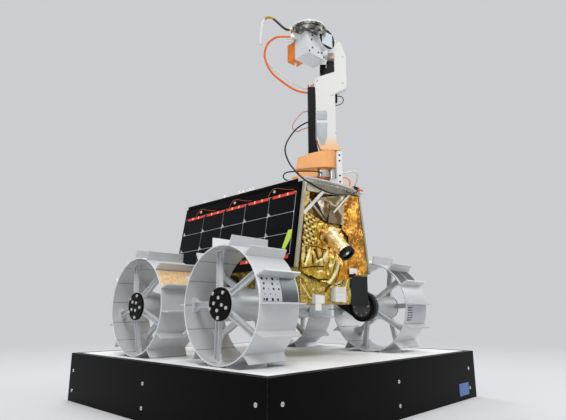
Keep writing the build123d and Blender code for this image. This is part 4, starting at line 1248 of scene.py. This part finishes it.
# mast: motor flutes and coils, plates, screws and wire ends, in the mast's own frame
mastMotor = {
    "flutes": (28, 12.4), "fluteRadius": 0.75, "fluteEnds": (275, 294.5),
    "coilHeights": (271.3, 273.2, 275.1), "coil": [(-0.9, 12.2), (-0.9, 14.6), (0.9, 14.6), (0.9, 12.2)],
    "footHeight": 262, "foot": [(-1.2, 14), (-1.2, 18.6), (1.4, 18.2), (1.4, 14)],
    "bandHeight": 295.2, "band": [(-1.6, 11.5), (-1.6, 14.6), (1.6, 14.6), (1.6, 11.5)],
}
mastGear = {"x": 21.5, "teeth": 22, "ring": 7.4, "half": 0.7, "ends": (276, 295)}


def addMastMotor(m):
    low, high = m["fluteEnds"]
    rodPiece("mast_motor_flutes", [((x, y, low), (x, y, high)) for x, y in circle(*m["flutes"])],
             m["fluteRadius"], "aluminium", "steel", sides=8, place=mastPlace)
    coils = [(m["coil"], (0, 0, z)) for z in m["coilHeights"]] + [(m["foot"], (0, 0, m["footHeight"]))]
    ringPiece("mast_motor_coil", coils, "copper", "steel", place=mastPlace)
    ringPiece("mast_motor_band", [(m["band"], (0, 0, m["bandHeight"]))], "sensorOrange", "orange_print",
              place=mastPlace)


def addMastGear(g):
    ring, half, (low, high) = g["ring"], g["half"], g["ends"]
    bm = bmesh.new()
    for i in range(g["teeth"]):
        turn = Matrix.Rotation(2 * pi * i / g["teeth"], 4, "Z")
        tooth = mastPlace @ Matrix.Translation((g["x"], 0, 0)) @ turn
        addBlock(bm, (ring - half, -half, low), (ring + half, half, high), tooth)
    newPiece("mast_gear_teeth", bm, "boltSteel")


mastFace = {
    # on the arm's outer face, as (a, height), with the y from which and to which each stands
    "plates": (((-12, 409.7), (10.3, 409.7), (10.6, 431.5), (-12, 431.5)),
               ((-13, 374), (-4.5, 350.4), (3.2, 350.3), (9.2, 369), (11, 402.5), (-12.5, 402.6))),
    "plateFaces": (-9.8, -11.0),
    "screws": ((-10, 505), (24, 470), (48, 500), (50, 566), (36, 604), (-9, 372), (30, 378)),
    "screwEnds": (-9, -10.7), "screwRadius": 1.9,
    "holes": ((35.5, 264), (35.5, 278), (35.5, 312), (35.5, 325)),
    "holeEnds": (-13.2, -11.4), "holeRadius": 2.15,
    "connector": ((30.5, -5, 456), (36, 6, 476)),
}
lobedRing = {"x": 11.5, "lobes": (9, 15), "ends": (334.5, 337), "radius": 2.6, "tip": 2.0}
wireEnds = {
    # stripped wire ends above the duct: a, y, how far each leans and its top
    "spots": ((-29, -6, -2, 496), (-25, -2, 1.5, 498), (-21, -6, 2.5, 500), (-27, 2, 0.5, 496),
              (-19, 1, -1, 498)),
    "foot": 487, "radius": 1.9, "tip": 1.6,
}


def addMastFace(f, ring, ends):
    platePiece("mast_face_plates", f["plates"], *f["plateFaces"], "plateGrey", "bare_aluminium", 0.4,
               mastPlace)
    near, far = f["screwEnds"]
    rodPiece("mast_screws", [((a, near, z), (a, far, z)) for a, z in f["screws"]], f["screwRadius"],
             "plateGrey", "steel", sides=14, bevel=0.3, place=mastPlace)
    near, far = f["holeEnds"]
    rodPiece("mast_strap_holes", [((a, near, z), (a, far, z)) for a, z in f["holes"]], f["holeRadius"],
             "blackPlastic", "black_plastic", place=mastPlace)
    low, high = ring["ends"]
    lobes = [((ring["x"] + x, y, low), (ring["x"] + x, y, high)) for x, y in circle(*ring["lobes"])]
    rodPiece("mast_lobed_ring", lobes, ring["radius"], "orangePrint", "orange_print", ring["tip"], 12, 0.4,
             place=mastPlace)
    wires = [((a, y, ends["foot"]), (a + lean, y - 1, top)) for a, y, lean, top in ends["spots"]]
    rodPiece("duct_wire_ends", wires, ends["radius"], "cableRed", "cable_red", ends["tip"], 10, 0.5,
             place=mastPlace)
    blockPiece("mast_back_connector", [f["connector"]], "blackPlastic", "black_plastic", 2.0, 3, mastPlace)


addMastMotor(mastMotor)
addMastGear(mastGear)
addMastFace(mastFace, lobedRing, wireEnds)

# head: face plate and its screws, dome, lens rim, knobs and the small hanging plug; all of it tilts
head = {
    "facePlate": ((1.2, -1.6, 546.5), (56.5, 0.2, 598.5)),
    "plateScrews": ((16.8, 563.4), (35.2, 558.1), (44.7, 560.5), (52.5, 551.5), (7.4, 552.4), (17.5, 594),
                    (14.1, 582.2)),
    "screwEnds": (-1.4, -2.3), "screwRadius": 2.1,
    "domeMiddle": (24.5, 18.5), "bandHeight": 605.8, "capHeight": 620.5,
    "band": [(-5.6, 36.2), (-5.6, 38.6), (5.2, 38.9), (5.2, 36.2)],
    "cap": [(0, 0.01), (0, 39), (2.6, 33), (4.4, 22), (5.2, 8), (5.3, 0.01)],
    "lensMiddle": (55.7, 0, 595.8),
    "lensRim": [(0, 23.2), (1.6, 23.6), (1.6, 25.4), (0, 25.7), (-6, 25.7), (-6, 23.2)],
    "plug": ((14, 52, 549), (14, 52, 541)), "plugRadii": (3.2, 2.2),
    # in the mast's frame: the knobs, and the lug and the boot at the hinge
    "knobs": (((-65.5, -40, 617), (-83, -38, 618)), ((-63.3, -40, 589), (-80.8, -38, 590))),
    "knobRadii": (3.4, 3.0),
    "hingeLug": ((2, -34, 556), (13, -12, 577)),
    "neckBoot": ((-3, -11, 543), (11, 1, 546)),
}


def addHeadParts(h):
    mine = {"place": headPlace, "body": "head"}
    mast = {"place": mastPlace, "body": "head"}
    blockPiece("head_face_plate", [h["facePlate"]], "headWhite", "mast_white", 0.7, 2, **mine)
    near, far = h["screwEnds"]
    rodPiece("head_face_screws", [((x, near, z), (x, far, z)) for x, z in h["plateScrews"]],
             h["screwRadius"], "blackPlastic", "black_plastic", sides=14, **mine)
    band = (h["band"], (*h["domeMiddle"], h["bandHeight"]))
    cap = (h["cap"], (*h["domeMiddle"], h["capHeight"]))
    ringPiece("head_dome_band", [band], "domeLid", "mast_white", sides=64, **mine)
    ringPiece("head_dome_cap", [cap], "headWhite", "mast_white", sides=64, **mine)
    radius, tip = h["knobRadii"]
    rodPiece("head_knobs", h["knobs"], radius, "whitePlug", "white_plug", tip, 24, 1.2, 3, **mast)
    radius, tip = h["plugRadii"]
    rodPiece("head_hanging_plug", [h["plug"]], radius, "whitePlug", "white_plug", tip, 16, 0.8, **mine)
    blockPiece("head_hinge_lug", [h["hingeLug"]], "headWhite", "mast_white", 2.0, 3, **mast)
    ringPiece("head_lens_rim", [(h["lensRim"], h["lensMiddle"])], "headWhite", "mast_white", (0, -1, 0), 64,
              **mine)
    blockPiece("head_neck_boot", [h["neckBoot"]], "blackPlastic", "black_plastic", 1.0, 2, **mast)


addHeadParts(head)
print("mast and head dressed")

# light and floor
light = {
    "worldLevel": 0.42, "worldShade": (0.97, 0.98, 1.0), "background": (0.60, 0.61, 0.63),
    # place, size, watts and colour of each soft box, all aimed at the rover's middle
    "boxes": [
        ((-2.6, -3.2, 4.8), 2.3, 168.0, (1.0, 0.985, 0.96)),
        ((-3.2, 0.3, 1.4), 1.2, 12.0, (0.97, 0.98, 1.0)),
        ((2.4, -1.9, 1.9), 1.2, 20.0, (1.0, 0.99, 0.97)),
        ((0.9, 2.6, 2.6), 1.6, 24.0, (1.0, 1.0, 1.0)),
        ((0.1, -0.1, 6.0), 2.4, 112.0, (1.0, 1.0, 1.0)),
    ],
    "aim": (-0.03, -0.02, 0.35),
    "floorSize": 14.0, "floorShade": (0.62, 0.63, 0.65), "floorFade": (0.9, 2.6),
}


def seenPlainly(tree):
    # 1 for what the camera, a shiny surface or glass looks at, and 0 for the light that falls on the rover
    path = put(tree, "LightPath").outputs
    seen = sums(tree, "MAXIMUM", path["Is Camera Ray"], path["Is Glossy Ray"])
    return sums(tree, "MAXIMUM", seen, path["Is Transmission Ray"])


def addLight(s):
    world = bpy.data.worlds.new("studio")
    bpy.context.scene.world = world
    world.use_nodes = True
    tree = world.node_tree
    tree.nodes.clear()
    lit = put(tree, "Background", {"Color": (*s["worldShade"], 1), "Strength": s["worldLevel"]})
    seen = put(tree, "Background", {"Color": (*s["background"], 1), "Strength": 1.0})
    mix = put(tree, "MixShader", {0: seenPlainly(tree), 1: lit.outputs[0], 2: seen.outputs[0]})
    put(tree, "OutputWorld", {0: mix.outputs[0]})
    aim = Vector(s["aim"])
    for i, (place, size, watts, colour) in enumerate(s["boxes"]):
        data = bpy.data.lights.new(f"softBox{i}", "AREA")
        data.shape = "DISK"
        data.size = size
        data.energy = watts
        data.color = colour
        lamp = addObject(f"softBox{i}", data)
        lamp.location = place
        lamp.rotation_euler = (aim - Vector(place)).to_track_quat("-Z", "Y").to_euler()
    bpy.context.scene.view_settings.view_transform = "Standard"


def addFloor(s):
    bm = bmesh.new()
    bmesh.ops.create_grid(bm, x_segments=2, y_segments=2, size=s["floorSize"])
    mesh = bpy.data.meshes.new("floor")
    bm.to_mesh(mesh)
    bm.free()
    floor = addObject("floor", mesh)
    finish, tree, skin = startFinish("paleFloor", {"Base Color": (*s["floorShade"], 1), "Roughness": 0.8,
                                                   "Specular IOR Level": 0.1})
    surface = skin.outputs[0].links[0].to_socket
    reach = put(tree, "VectorMath", {0: objectSpot(tree)}, operation="LENGTH").outputs["Value"]
    share = times(tree, seenPlainly(tree), ramp(tree, reach, *s["floorFade"]))
    glow = put(tree, "Emission", {"Color": (*s["background"], 1), "Strength": 1.0})
    mix = put(tree, "MixShader", {0: share, 1: skin.outputs[0], 2: glow.outputs[0]})
    tree.links.new(mix.outputs[0], surface)
    mesh.materials.append(finish)


addLight(light)
addFloor(light)
print("light and floor ready")
